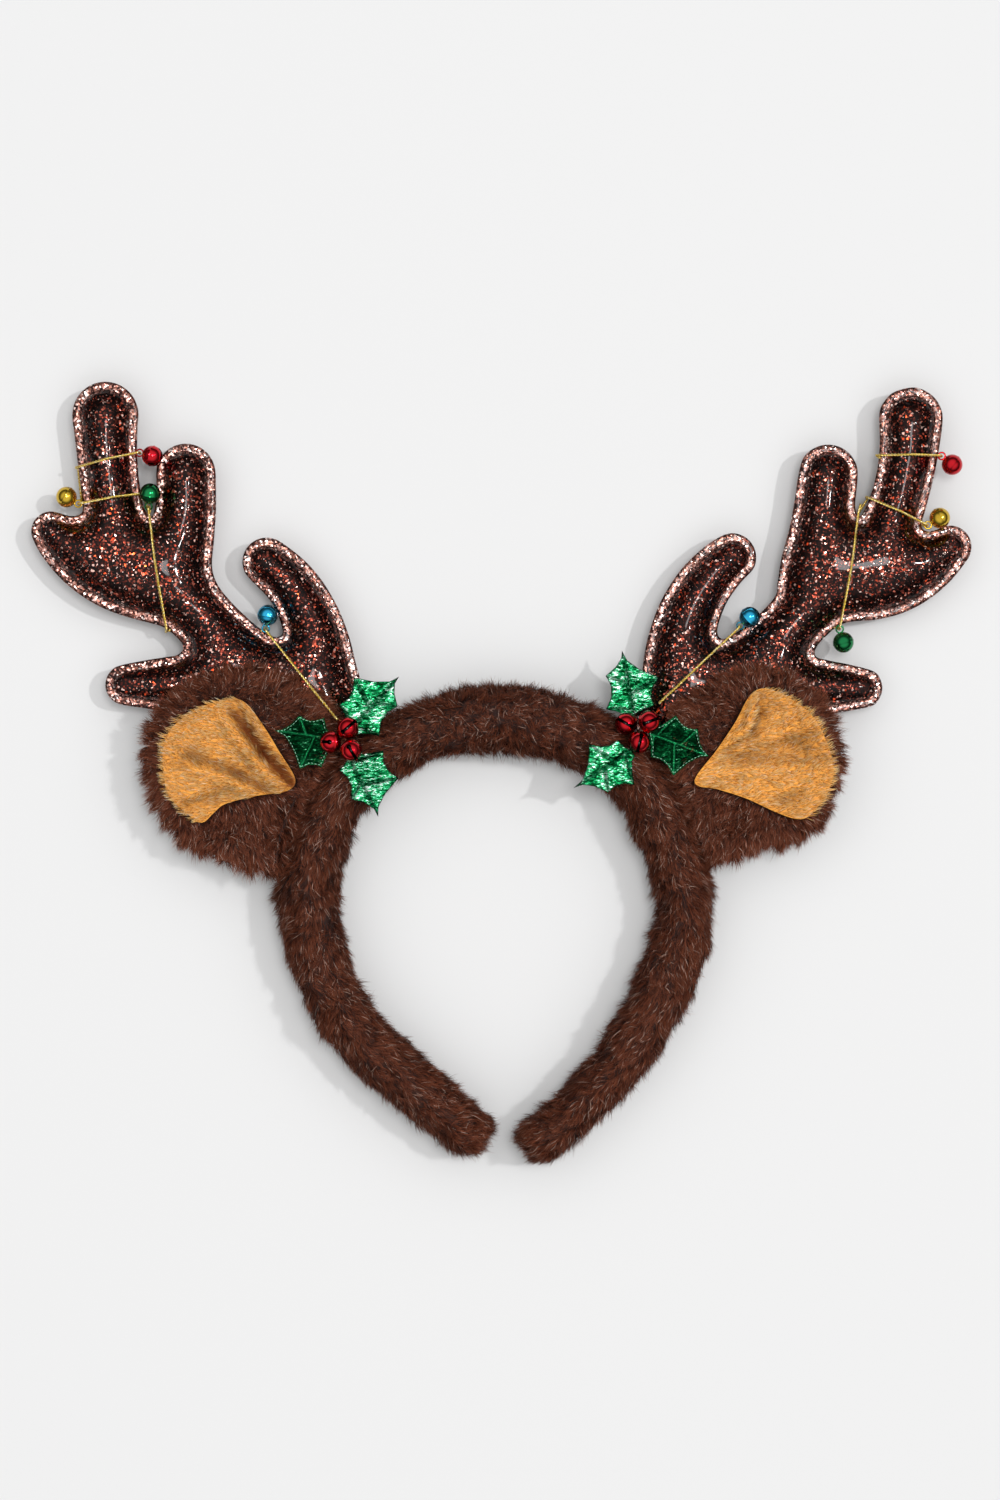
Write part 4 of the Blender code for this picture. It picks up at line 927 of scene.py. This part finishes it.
# %% Folds
FOLDS = {
    "left": (
        ((0.59, 0.95), (0.66, 0.78), 3.2, 2.6, 1, 0.3),
        ((0.56, 0.84), (0.76, 0.54), 3.6, 2.4, -1, 0.9),
        ((0.76, 0.54), (0.98, 0.28), 3.4, 2.0, -1, 0.9),
        ((0.68, 0.72), (0.97, 0.36), 3.0, 0.8, 1, 0.75),
        ((0.21, 0.55), (0.57, 0.38), 3.6, 2.0, -1, 0.45),
        ((0.57, 0.38), (0.79, 0.24), 3.0, 1.8, -1, 0.6),
        ((0.12, 0.47), (0.22, 0.47), 4.5, 0.6, -1, 0.35),
        ((0.18, 0.17), (0.42, 0.22), 3.6, 1.4, 1, 0.4),
    ),
    "right": (
        ((0.46, 0.92), (0.47, 0.79), 2.8, 1.8, -1, 0.4),
        ((0.47, 0.79), (0.42, 0.65), 2.8, 1.8, -1, 0.4),
        ((0.42, 0.65), (0.22, 0.53), 2.6, 1.8, -1, 0.36),
        ((0.32, 0.47), (0.82, 0.64), 4.2, 1.6, 1, 0.26),
        ((0.70, 0.56), (0.80, 0.57), 5.0, 0.5, 1, 0.22),
        ((0.20, 0.44), (0.99, 0.45), 4.0, 1.4, -1, 0.22),
        ((0.62, 0.16), (0.71, 0.19), 3.6, 1.2, 1, 0.4),
    ),
}


def fold_shape(side, plan):
    """How far the folds lift each spot of the lining, and how much painted shade they give it.
    """
    low, high = plan.min(axis=0), plan.max(axis=0)
    relief = np.zeros(len(plan))
    painted_fold_shade = np.zeros(len(plan))
    for first, last, width, rise, way, dark in FOLDS[side]:
        start = low + (high - low) * np.array(first)
        step = low + (high - low) * np.array(last) - start
        run = np.linalg.norm(step)
        share = (plan - start) @ step / run ** 2
        gap = plan - start - np.clip(share, 0, 1)[:, None] * step
        beyond = falloff(np.maximum(np.abs(share - 0.5) - 0.5, 0) * run, 3 * MM)
        across = (step[0] * gap[:, 1] - step[1] * gap[:, 0]) / run * way
        half = width * MM
        ridge = falloff(across - half, 0.8 * half)
        crease = falloff(across, 0.4 * half)
        relief += rise * MM * (ridge - 0.6 * crease) * beyond
        # Painted shade: along the crease, and across the flap on its far side.
        shaded = np.where(across < 0, falloff(across, 0.9 * half), crease)
        painted_fold_shade = 1 - (1 - painted_fold_shade) * (1 - dark * shaded * beyond)
    return relief, painted_fold_shade


# %% [markdown]
# The cloth lies on its solid with the folds added, and its flat size is a little more than
# its outline, because the folds take cloth up. The pile is combed outwards.

# %% Linings
LINING_GRID = 1.2 * MM
LINING_STRANDS = int(9000 * STRAND_SHARE)
LINING_PILE = 2.9 * MM
CLOTH_THICKNESS = 0.8 * MM
MELT_REACH = 2.5 * MM
FOLDS_FROM_EDGE = 3 * MM
LOFT, LEAST = 1.6 * MM, 0.5 * MM
FAN = 0.012
LIFT = 0.25


def lining_skins(side, plan, depth, relief):
    tree = tree_of(f"ear_lining_{side}")
    base = soft_heights(tree, plan, MELT_REACH, up=False)
    top = soft_heights(tree, plan, MELT_REACH)
    relief = relief * ease(depth / FOLDS_FROM_EDGE)
    over = np.maximum(0.5 * (base + LOFT) + 0.5 * top + relief, base + LEAST)
    return over, over - CLOTH_THICKNESS


def lining_pile(side, points, cells, loop, painted_fold_shade):
    name = f"ear_lining_{side}"
    roots, out = scatter(points, cells, np.ones(len(cells)), LINING_STRANDS, 80)
    middle = roots[:, :2].mean(axis=0)
    comb = np.zeros((len(roots), 3))
    comb[:, 0] = -1.0 if side == "left" else 1.0
    comb[:, 1] = FAN * (roots[:, 1] - middle[1]) / MM + LIFT
    edge, _ = depth_in(loop, roots[:, :2])
    own = nearest(points[:, :2], roots[:, :2])
    long = LINING_PILE * np.interp(edge, (0, 4 * MM), (1.35, 1.0))
    strands(name + "_pile", roots, out, comb, long, VELBOA, 81, stand=0.40,
            width=0.24 * MM, clump=1.4 * MM, gather=0.5, stray=0.20, sway=0.10,
            painted_shade=painted_fold_shade[own])


def build_lining(side):
    name = f"ear_lining_{side}"
    loop = resample(outline_from_above(name), LINING_GRID)
    plan, cells = plan_triangles(loop, grid_inside(loop, LINING_GRID, LINING_GRID / 2))
    depth, _ = depth_in(loop, plan)
    relief, painted_fold_shade = fold_shape(side, plan)
    points, faces = two_skins(plan, cells, *lining_skins(side, plan, depth, relief))
    piece = add_piece(name + "_cloth", points, faces, CLOTH, name)
    mark_points(piece.data, "painted_fold_shade", np.tile(painted_fold_shade, 2))
    lining_pile(side, points[:len(plan)], cells, loop, painted_fold_shade)


for side in SIDES:
    build_lining(side)


# %% [markdown]
# A holly leaf is two layers of metallic green foil cloth, stitched together round the edge
# and pressed into grooves along its veins. The foil is crinkled all over, so it flashes in
# small facets; those flashes are painted into its colour too, as streaks and patches of
# painted highlight and painted shade from near black to near white. The fold and droop come
# from the solid; the crinkle is modelled, and a finer one is bump. The leaf at the side lies
# in shade, so its foil is painted darker and its veins show brighter than the foil between them.

# %% Foil leaves
STREAK = MM / 1.5
FLASH_PATCH = MM / 0.21
FOIL_BUMP = 0.35 * MM


def foil_cloth(name, stops, vein):
    """Crinkled foil: streaks and patches of painted highlight and shade, from dark to white,
    and another green in the veins.
    """
    material, tree, shader = new_material(name, Metallic=1.0, Roughness=0.27)
    place = add_node(tree, "ShaderNodeTexCoord").outputs["Object"]
    turned = add_node(tree, "ShaderNodeMapping", None,
                      {"Rotation": (0, 0, math.radians(-50)), "Scale": (0.28, 1.0, 0.6)},
                      {"Vector": place})
    streak = add_node(tree, "ShaderNodeTexNoise", None,
                      {"Scale": 1 / STREAK, "Detail": 3.0, "Roughness": 0.65, "Distortion": 1.1},
                      {"Vector": turned.outputs[0]})
    # Broad patches of painted highlight and shade, for the flashes off the foil's bends.
    bend = add_node(tree, "ShaderNodeTexNoise", None, {"Scale": 1 / FLASH_PATCH, "Detail": 2.0},
                    {"Vector": place})
    both = add_node(tree, "ShaderNodeMath", {"operation": "MULTIPLY_ADD"}, {1: 0.42},
                    {0: bend.outputs["Fac"], 2: streak.outputs["Fac"]})
    # Painted shade and painted highlight: the foil's green from near black to near white.
    colour = ramp(tree, both.outputs[0], stops)
    line = add_node(tree, "ShaderNodeAttribute", {"attribute_name": "vein"})
    lined = add_node(tree, "ShaderNodeMix", {"data_type": "RGBA"}, {7: linear(vein)},
                     {"Factor": line.outputs["Fac"], 6: colour})
    tree.links.new(lined.outputs[2], shader.inputs["Base Color"])
    bump = add_node(tree, "ShaderNodeBump", None, {"Strength": 1.0, "Distance": FOIL_BUMP},
                    {"Height": both.outputs[0]})
    tree.links.new(bump.outputs["Normal"], shader.inputs["Normal"])
    return material


FOIL = foil_cloth("crinkled_green_foil", (
    (0.60, "#012C0E"), (0.67, "#066C38"), (0.735, "#1AA862"), (0.80, "#66E0AA"),
    (0.86, "#F4FFFA")), "#00140A")
DIM_FOIL = foil_cloth("crinkled_green_foil_in_shade", (
    (0.58, "#010804"), (0.70, "#01200D"), (0.80, "#04391B"), (0.88, "#0E5C33"),
    (0.95, "#7CD8A8")), "#1A7A48")
THREAD = new_material("green_stitching", Base_Color=linear("#0A4A26"), Roughness=0.55)[0]
PALE_THREAD = new_material("bright_edge_stitching", Base_Color=linear("#BFF5D8"),
                           Roughness=0.4)[0]


# %% [markdown]
# A stitch is a little spindle of thread that lies on the foil. The rows run from one spine
# of the leaf to the next, a little inside its edge.

# %% Stitches
LEAF_GRID = 0.5 * MM
STITCH_SPACING = 1.3 * MM
STITCH_LENGTH = 0.8 * MM
STITCH_THICKNESS = 0.2 * MM
STITCH_RUN = 4 * MM
STITCH_INSET = 0.075
STITCH_RINGS = ((-0.5, 0.25), (0.0, 1.0), (0.5, 0.25))


def stitch_row(points, faces, start, end, height_at):
    """Adds a row of stitches to the points and faces of the rows before it."""
    length = np.linalg.norm(end - start)
    way = (end - start) / max(length, 1e-9)
    across = np.array([-way[1], way[0]])
    for place in np.arange(STITCH_SPACING / 2, length, STITCH_SPACING):
        faces += tube_faces(len(STITCH_RINGS), 6, len(points))
        for along, size in STITCH_RINGS:
            centre = start + way * (place + along * STITCH_LENGTH)
            z = height_at(centre) + STITCH_THICKNESS / 2
            for turn in range(6):
                angle = turn * math.pi / 3
                off = across * math.cos(angle) * STITCH_THICKNESS / 2 * size
                rise = math.sin(angle) * STITCH_THICKNESS / 2 * size
                points.append((*(centre + off), z + rise))


def edge_stitches(loop, spines, tree, spare_height):
    """Rows of stitches from spine to spine, at the height of the leaf below them."""
    def height_at(spot):
        hit = tree.ray_cast(Vector((*spot, 1.0)), Vector((0, 0, -1)))[0]
        return hit.z if hit is not None else spare_height

    points, faces = [], []
    inset = loop + (loop.mean(axis=0) - loop) * STITCH_INSET
    corners = sorted(int(np.linalg.norm(loop - spine, axis=1).argmin()) for spine in spines)
    for first, last in zip(corners, corners[1:] + [corners[0] + len(loop)]):
        stops = [*range(first, last, int(STITCH_RUN / LEAF_GRID)), last]
        for a, b in zip(stops, stops[1:]):
            stitch_row(points, faces, inset[a % len(loop)], inset[b % len(loop)], height_at)
    return points, faces


# %% [markdown]
# The leaf's outline keeps the solid's sharp spines. Its midrib runs from the sprig to the
# farthest spine, and a side vein runs from the midrib to each spine between.

# %% Leaves
SPINE_TURN = math.radians(38)
VEIN_DEPTH = 0.45 * MM
VEIN_WIDTH = 0.55 * MM
VEIN_SLANT = 0.16
FOIL_PUFF = 0.45 * MM
CRINKLE = 0.07 * MM
LEAF_PULL = 0.012


def cut_finely(loop):
    """Points at even steps on a loop's straight edges, with its corners kept."""
    parts = []
    for here, step in zip(loop, np.roll(loop, -1, axis=0) - loop):
        count = max(1, int(np.hypot(*step) / LEAF_GRID))
        parts.append(here + step * np.linspace(0, 1, count, endpoint=False)[:, None])
    return np.vstack(parts)


def leaf_corners(loop):
    """The spines of a leaf: the points where its outline turns sharply outwards."""
    before = loop - np.roll(loop, 1, axis=0)
    after = np.roll(loop, -1, axis=0) - loop
    turn = np.arctan2(before[:, 0] * after[:, 1] - before[:, 1] * after[:, 0],
                      (before * after).sum(axis=1))
    return loop[turn > SPINE_TURN]


def leaf_veins(base, tip, spines):
    midrib = tip - base
    veins = [(base, tip)]
    for spine in spines:
        share = (spine - base) @ midrib / (midrib @ midrib)
        if 0.15 < share < 0.9:
            veins.append((base + midrib * max(share - VEIN_SLANT, 0.1), spine))
    return veins


def vein_marks(plan, veins):
    """1 on a vein, and fading to 0 beside it."""
    dent = np.zeros(len(plan))
    for start, end in veins:
        way = end - start
        share = np.clip((plan - start) @ way / (way @ way), 0, 1)
        gap = np.linalg.norm(plan - start - share[:, None] * way, axis=1)
        dent = np.maximum(dent, falloff(gap, VEIN_WIDTH))
    return dent


# %% [markdown]
# The foil is pressed down along the veins, swells between them and carries the crinkle.

# %% Building the leaves
def build_leaf(name, centre, shaded):
    corners = outline_from_above(name)
    loop = cut_finely(corners)
    spines = leaf_corners(corners)
    tip = spines[np.linalg.norm(spines - centre, axis=1).argmax()]
    base = corners[np.linalg.norm(corners - centre, axis=1).argmin()]
    plan, cells = plan_triangles(loop, grid_inside(loop, LEAF_GRID, LEAF_GRID / 2))
    tree = tree_of(name)
    pull = plan + (plan.mean(axis=0) - plan) * LEAF_PULL
    top, back = heights(tree, pull), heights(tree, pull, up=False)
    top = np.where(np.isnan(top), np.nanmean(top), top)
    back = np.where(np.isnan(back), top - 1.0 * MM, back)
    dent = vein_marks(plan, leaf_veins(base, tip, spines))
    depth, _ = depth_in(loop, plan)
    puff = FOIL_PUFF * ease(depth / (2.5 * MM)) * (1 - dent)
    crinkle = np.random.default_rng(5).normal(0, CRINKLE, len(plan))
    over = top - VEIN_DEPTH * dent + puff + crinkle - 0.15 * MM
    points, faces = two_skins(plan, cells, over, back + 0.2 * MM)
    foil = add_piece(name + "_foil", points, faces, DIM_FOIL if shaded else FOIL,
                     name)
    line = np.maximum(0.9 * dent ** 2, 1 - ease(depth / (0.45 * MM)))
    mark_points(foil.data, "vein", np.tile(line, 2))
    points, faces = edge_stitches(loop, spines, tree, float(np.mean(top)))
    add_piece(name + "_stitches", points, faces, PALE_THREAD if shaded else THREAD)


for side in SIDES:
    boxes = [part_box(f"berry_{side}_{k}") for k in (1, 2, 3)]
    sprig = np.mean([((low + high) / 2)[:2] for low, high in boxes], axis=0)
    for leaf in ("side", "lower", "upper"):
        build_leaf(f"holly_leaf_{side}_{leaf}", sprig, leaf == "side")
print("leaves built")


# %% [markdown]
# The berries and the small bells are jingle bells: two cups pressed from thin steel, crimped
# together at the waist, slotted below with a round hole at each end of the slot, and dipped
# in a clear coloured lacquer over the bright metal. The lacquer gives a deep metallic colour
# with a sharp highlight. The hollow behind the slot is painted nearly black, as painted shade
# inside the bell. One fine bell is cut with Booleans. Each solid bell's slot walls and wire
# ring tell which way it lies.

# %% Lacquered bells
BELL_RADIUS = 3.8 * MM
BERRY_RADIUS = 4.0 * MM
SHELL = 0.35 * MM
SLOT = 1.1 * MM
LOOP_RADIUS = 1.3 * MM
LOOP_WIRE = 0.3 * MM
BEAD, BEAD_WIDTH = 0.13 * MM, 0.22 * MM
HOLE_RADIUS = 0.85 * MM
HOLE_TILT = math.radians(52)
CLOUD = MM / 0.26


def lacquer(name, colour):
    material, tree, shader = new_material(name, Metallic=1.0, Roughness=0.16, Coat_Weight=0.35,
                                          Coat_Roughness=0.03)
    place = add_node(tree, "ShaderNodeTexCoord").outputs["Object"]
    cloud = add_node(tree, "ShaderNodeTexNoise", None, {"Scale": 1 / CLOUD, "Detail": 2.0},
                     {"Vector": place})
    worn = add_node(tree, "ShaderNodeMapRange", None,
                    {"To Min": 0.08, "To Max": 0.18}, {"Value": cloud.outputs["Fac"]})
    tree.links.new(worn.outputs["Result"], shader.inputs["Roughness"])
    dim = add_node(tree, "ShaderNodeMix", {"data_type": "RGBA"},
                   {6: linear(colour[0]), 7: linear(colour[1])},
                   {"Factor": cloud.outputs["Fac"]})
    painted_hollow_shade = add_node(tree, "ShaderNodeAttribute", {"attribute_name": "painted_hollow_shade"})
    # Painted shade: the inside of the shell is painted nearly black.
    hollow = add_node(tree, "ShaderNodeMix", {"data_type": "RGBA"}, {7: linear("#080404")},
                      {"Factor": painted_hollow_shade.outputs["Fac"], 6: dim.outputs[2]})
    tree.links.new(hollow.outputs[2], shader.inputs["Base Color"])
    return material


LACQUERS = {
    "red": lacquer("red_lacquer_on_steel", ("#A00010", "#D80A1E")),
    "blue": lacquer("blue_lacquer_on_steel", ("#0A8EC0", "#3CC4EC")),
    "green": lacquer("green_lacquer_on_steel", ("#02582E", "#0A8E4C")),
    "gold": lacquer("gold_lacquer_on_steel", ("#B08A14", "#E8C440")),
}


# %% [markdown]
# Both the cup's outside and its hollow are shapes turned round the bell's own axis. The
# crimped waist is a small bead, added where the profile passes the middle.

# %% Turned shapes
def scratch_object(mesh):
    """An object for a Boolean to use, removed again when the bell is done."""
    thing = bpy.data.objects.new("scratch", mesh)
    bpy.context.scene.collection.objects.link(thing)
    return thing


def finished(work, name):
    """Ends the work on a bmesh, with all of its faces turned outwards."""
    bmesh.ops.recalc_face_normals(work, faces=work.faces)
    mesh = bpy.data.meshes.new(name)
    work.to_mesh(mesh)
    work.free()
    return mesh


def turned(profile, around):
    """A closed shape turned round Z from (radius, height) pairs, first and last on the axis."""
    points = [(0.0, 0.0, profile[0][1])]
    for radius, height in profile[1:-1]:
        points += [(radius * math.cos(2 * math.pi * k / around),
                    radius * math.sin(2 * math.pi * k / around), height)
                   for k in range(around)]
    points.append((0.0, 0.0, profile[-1][1]))
    last = len(points) - 1
    faces = [(0, 1 + (k + 1) % around, 1 + k) for k in range(around)]
    for ring in range(len(profile) - 3):
        for k in range(around):
            a = 1 + ring * around + k
            b = 1 + ring * around + (k + 1) % around
            faces.append((a, b, b + around, a + around))
    first = last - around
    faces += [(last, first + k, first + (k + 1) % around) for k in range(around)]
    mesh = bpy.data.meshes.new("turned")
    mesh.from_pydata(points, [], faces)
    work = bmesh.new()
    work.from_mesh(mesh)
    return finished(work, "turned")


def ball_profile(radius, bead, steps):
    profile = []
    for step in range(steps + 1):
        angle = -math.pi / 2 + math.pi * step / steps
        height = radius * math.sin(angle)
        waist = bead * math.exp(-(height / BEAD_WIDTH) ** 2)
        profile.append((radius * math.cos(angle) + waist, height))
    return profile


# %% [markdown]
# Three kinds of cutter make the bell: a smaller ball for the hollow, a bar for the slot and
# two round rods for its ends. The small bells also have a ring of wire joined on top.

# %% Cutting one bell
def bell_cutters():
    hollow = turned(ball_profile(BELL_RADIUS - SHELL, 0.0, 20), 28)
    bar = bmesh.new()
    size = Matrix.Diagonal((2 * BELL_RADIUS * 0.80, SLOT, 2 * BELL_RADIUS, 1))
    bmesh.ops.create_cube(bar, size=1.0,
                          matrix=Matrix.Translation((0, 0, -BELL_RADIUS * 1.30)) @ size)
    cutters = [hollow, finished(bar, "slot")]
    for way in (-1, 1):
        lean = Matrix.Rotation(way * HOLE_TILT, 4, "Y")
        place = Matrix.Translation(lean @ Vector((0, 0, -BELL_RADIUS)))
        rod = bmesh.new()
        bmesh.ops.create_cone(rod, cap_ends=True, segments=20, radius1=HOLE_RADIUS,
                              radius2=HOLE_RADIUS, depth=2.4 * MM, matrix=place @ lean)
        cutters.append(finished(rod, "hole"))
    return cutters


def wire_ring(around=24, sides=10):
    work = bmesh.new()
    level = BELL_RADIUS + LOOP_RADIUS - 0.1 * MM
    ring = []
    for turn in range(around):
        big = 2 * math.pi * turn / around
        for step in range(sides):
            small = 2 * math.pi * step / sides
            reach = LOOP_RADIUS + LOOP_WIRE * math.cos(small)
            ring.append(work.verts.new((reach * math.cos(big), LOOP_WIRE * math.sin(small),
                                        level + reach * math.sin(big))))
    for turn in range(around):
        here, there = turn * sides, (turn + 1) % around * sides
        for step in range(sides):
            beside = (step + 1) % sides
            work.faces.new([ring[k] for k in (
                here + step, here + beside, there + beside, there + step)])
    return finished(work, "ring")


def fine_bell(with_ring):
    body = scratch_object(turned(ball_profile(BELL_RADIUS, BEAD, 34), 40))
    changes = [("DIFFERENCE", mesh) for mesh in bell_cutters()]
    if with_ring:
        changes.append(("UNION", wire_ring()))
    things = [body]
    for operation, mesh in changes:
        things.append(scratch_object(mesh))
        change = body.modifiers.new("change", "BOOLEAN")
        change.operation = operation
        change.solver = "EXACT"
        change.object = things[-1]
    bpy.context.view_layer.update()
    shaped = bpy.data.meshes.new_from_object(
        body.evaluated_get(bpy.context.evaluated_depsgraph_get()))
    for thing in things[1:] + things[:1]:
        bpy.data.objects.remove(thing, do_unlink=True)
    shaped.shade_smooth()
    shaped.set_sharp_from_angle(angle=math.radians(40))
    reach = np.array([point.co.length for point in shaped.vertices])
    # Marks the inside of the shell for its painted shade.
    mark_points(shaped, "painted_hollow_shade", reach < BELL_RADIUS - 0.6 * SHELL)
    return shaped


# %% [markdown]
# A solid bell's skin is faceted, so most of it lies a little inside the true ball. A fit
# that trusts far points less and less finds the middle. The points outside the ball are
# the wire ring; where there is none, the slot's walls give the way.

# %% Setting the bells
SKIN = 0.985
RING_FROM = 1.12
WALL_FROM = 0.80
WALL_SLOPE = 0.35
DOUBTS = np.geomspace(2 * MM, 0.08 * MM, 60)


def slot_way(points, faces, centre, radius):
    """The way from the slot to the bell's crown, and across the slot."""
    spots, normals, areas = face_facts(points, faces)
    rays = spots - centre
    gap = np.linalg.norm(rays, axis=1)
    steep = np.abs((rays / gap[:, None] * normals).sum(axis=1)) < WALL_SLOPE
    wall = steep & (gap < radius * SKIN) & (gap > radius * WALL_FROM)
    weight = areas[wall][:, None]
    _, vectors = np.linalg.eigh((normals[wall] * weight).T @ normals[wall])
    return -Vector((rays[wall] * weight).sum(axis=0)).normalized(), Vector(vectors[:, 2])


def bell_pose(name, radius):
    """Centre of a solid bell and the matrix that turns the fine bell the same way."""
    points, faces = solid_of(name)
    centre = np.median(points, axis=0)
    for doubt in DOUBTS:
        away = points - centre
        gap = np.linalg.norm(away, axis=1)
        off = gap - radius * SKIN
        weight = 1 / (1 + (off / doubt) ** 2) ** 2
        rays = away / gap[:, None]
        pull = np.einsum("i,ij,ik->jk", weight, rays, rays)
        centre = centre + np.linalg.solve(pull, (weight * off) @ rays)
    away = points - centre
    ring = points[np.linalg.norm(away, axis=1) > radius * RING_FROM]
    if len(ring) > 6:
        up = Vector(ring.mean(axis=0) - centre).normalized()
        _, vectors = np.linalg.eigh(np.cov((ring - ring.mean(axis=0)).T))
        narrow = Vector(vectors[:, 0])
    else:
        up, narrow = slot_way(points, faces, centre, radius)
    narrow = (narrow - up * narrow.dot(up)).normalized()
    wide = narrow.cross(up)
    turn = Matrix((wide, narrow, up)).transposed().to_4x4()
    return Matrix.Translation(Vector(centre)) @ turn @ Matrix.Scale(radius / BELL_RADIUS, 4)


def place_bell(name, mesh, colour, radius=BELL_RADIUS):
    pose = bell_pose(name, radius)
    copy = mesh.copy()
    copy.transform(pose)
    copy.materials.clear()
    copy.materials.append(LACQUERS[colour])
    bell = bpy.data.objects.new(name + "_lacquered", copy)
    bpy.context.scene.collection.objects.link(bell)
    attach(bell, "root")
    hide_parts(name)
    return pose.translation


BELL = fine_bell(True)
BERRY = fine_bell(False)
for side in SIDES:
    for number in (1, 2, 3):
        place_bell(f"berry_{side}_{number}", BERRY, "red", BERRY_RADIUS)
    for colour in ("blue", "green", "gold", "red"):
        spot = place_bell(f"bell_{side}_{colour}", BELL, colour)
        print("bell", side, colour, [round(v / MM, 1) for v in spot])


# %% [markdown]
# The cord is a two-ply twist of gold metallic thread, 0.9 mm across. The solid tube carries
# its route, ring by ring, from one end cap to the other. Two strands wound round that line
# give the twist, which catches the light at every half turn. Where the fine vinyl stands
# higher than the solid did, the line is lifted onto it.

# %% Gold cord
PLY = 0.31 * MM
PITCH = 2.6 * MM
APART = 0.75
PLY_SIDES = 6
CORD_SLACK = 0.35
TUBE_SPOTS = 40000
SPECK = MM / 2.6
CORD_STATION = 0.25 * MM
LIFT_REACH = 3.0 * MM


def metallic_thread():
    material, tree, shader = new_material("twisted_gold_thread", Metallic=0.85, Roughness=0.30)
    place = add_node(tree, "ShaderNodeTexCoord").outputs["Object"]
    speck = add_node(tree, "ShaderNodeTexNoise", None, {"Scale": 1 / SPECK, "Detail": 2.0},
                     {"Vector": place})
    colour = ramp(tree, speck.outputs["Fac"], ((0.30, "#8A6A10"), (0.50, "#E8C440"),
                                               (0.64, "#FFF8CC")))
    tree.links.new(colour, shader.inputs["Base Color"])
    return material


GOLD_THREAD = metallic_thread()


# %% [markdown]
# The route comes back out of the solid tube. Its edges are walked from one end to the
# other, and the mean of its skin's spots at each step of that walk is its middle line.

# %% The cord's middle line
def along_tube(points, faces, start):
    """Shortest way along the edges from one point of a tube to each of its others."""
    beside = [set() for _ in points]
    for a, b, c in faces:
        beside[a] |= {b, c}
        beside[b] |= {a, c}
        beside[c] |= {a, b}
    far = np.full(len(points), np.inf)
    far[start] = 0.0
    waiting = [(0.0, start)]
    while waiting:
        run, spot = heapq.heappop(waiting)
        for near in beside[spot]:
            longer = run + np.linalg.norm(points[near] - points[spot])
            if longer < far[near]:
                far[near] = longer
                heapq.heappush(waiting, (longer, near))
    return far


def tube_line(name, spacing=0.8 * MM):
    """The middle line of a tube: the mean of its skin's spots at even steps along it."""
    points, faces = solid_of(name)
    end = int(along_tube(points, faces, 0).argmax())
    far = along_tube(points, faces, end)
    *_, areas = face_facts(points, faces)
    picked, share = random_spots(faces, areas, TUBE_SPOTS, 3)
    spots = np.einsum("nk,nkj->nj", share, points[picked])
    run = (share * far[picked]).sum(axis=1)
    places = np.arange(0, run.max(), spacing)
    line = [spots[(run >= place) & (run < place + spacing)] for place in places]
    line = np.array([part.mean(axis=0) for part in line if len(part) > 4])
    line[1:-1] = 0.25 * line[:-2] + 0.5 * line[1:-1] + 0.25 * line[2:]
    return line


# %% [markdown]
# A ray straight down from each spot of the line finds the fine vinyl. Two plies are then
# wound round the line, half a turn apart, from sideways steps that don't twist by
# themselves.

# %% Winding the cord
def lift_over(piece, line):
    """How far each spot of the line must rise to lie on the fine vinyl below it."""
    tree = BVHTree.FromObject(piece, bpy.context.evaluated_depsgraph_get())
    rise = np.zeros(len(line))
    for index, spot in enumerate(line):
        hit = tree.ray_cast(Vector((spot[0], spot[1], 1.0)), Vector((0, 0, -1)))[0]
        if hit is not None and hit.z > spot[2] - 1.5 * PLY and hit.z < spot[2] + LIFT_REACH:
            rise[index] = max(hit.z + 1.3 * PLY - spot[2], 0.0)
    window = np.hanning(2 * int(1.5 * MM / CORD_STATION) + 3)
    spread = np.convolve(rise, window / window.sum(), "same")
    return np.maximum(rise, spread)


def build_cord(side):
    name = f"gold_cord_{side}"
    knots = tube_line(name)
    ends = 2 * knots[0] - knots[1], 2 * knots[-1] - knots[-2]
    line = curve_through(np.vstack([ends[0], knots, ends[1]]), CORD_SLACK)
    line = np.vstack([line, knots[-1:]])
    run = run_along(line)
    stops = np.linspace(0, run[-1], int(run[-1] / CORD_STATION))
    line = read_at(line, run, stops)
    line[:, 2] += lift_over(antlers[side], line)
    way = unit(np.gradient(line, axis=0))
    first = np.cross(way[0], (0.3, 0.2, 1.0))
    sideways = [first / np.linalg.norm(first)]
    for step in way[1:]:
        turn = sideways[-1] - step * (sideways[-1] @ step)
        sideways.append(turn / np.linalg.norm(turn))
    sideways = np.array(sideways)
    third = np.cross(way, sideways)
    points = []
    faces = []
    for ply in range(2):
        faces += tube_faces(len(line), PLY_SIDES, len(points))
        phase = 2 * np.pi * stops / PITCH + math.pi * ply
        centre = line + PLY * APART * (sideways * np.cos(phase)[:, None]
                                       + third * np.sin(phase)[:, None])
        for k in range(len(line)):
            for turn in range(PLY_SIDES):
                angle = 2 * math.pi * turn / PLY_SIDES
                points.append(centre[k] + PLY * (sideways[k] * math.cos(angle)
                                                 + third[k] * math.sin(angle)))
    add_piece(name + "_twist", points, faces, GOLD_THREAD, name)
    print(name, round(run[-1] / MM), "mm long")


for side in SIDES:
    build_cord(side)
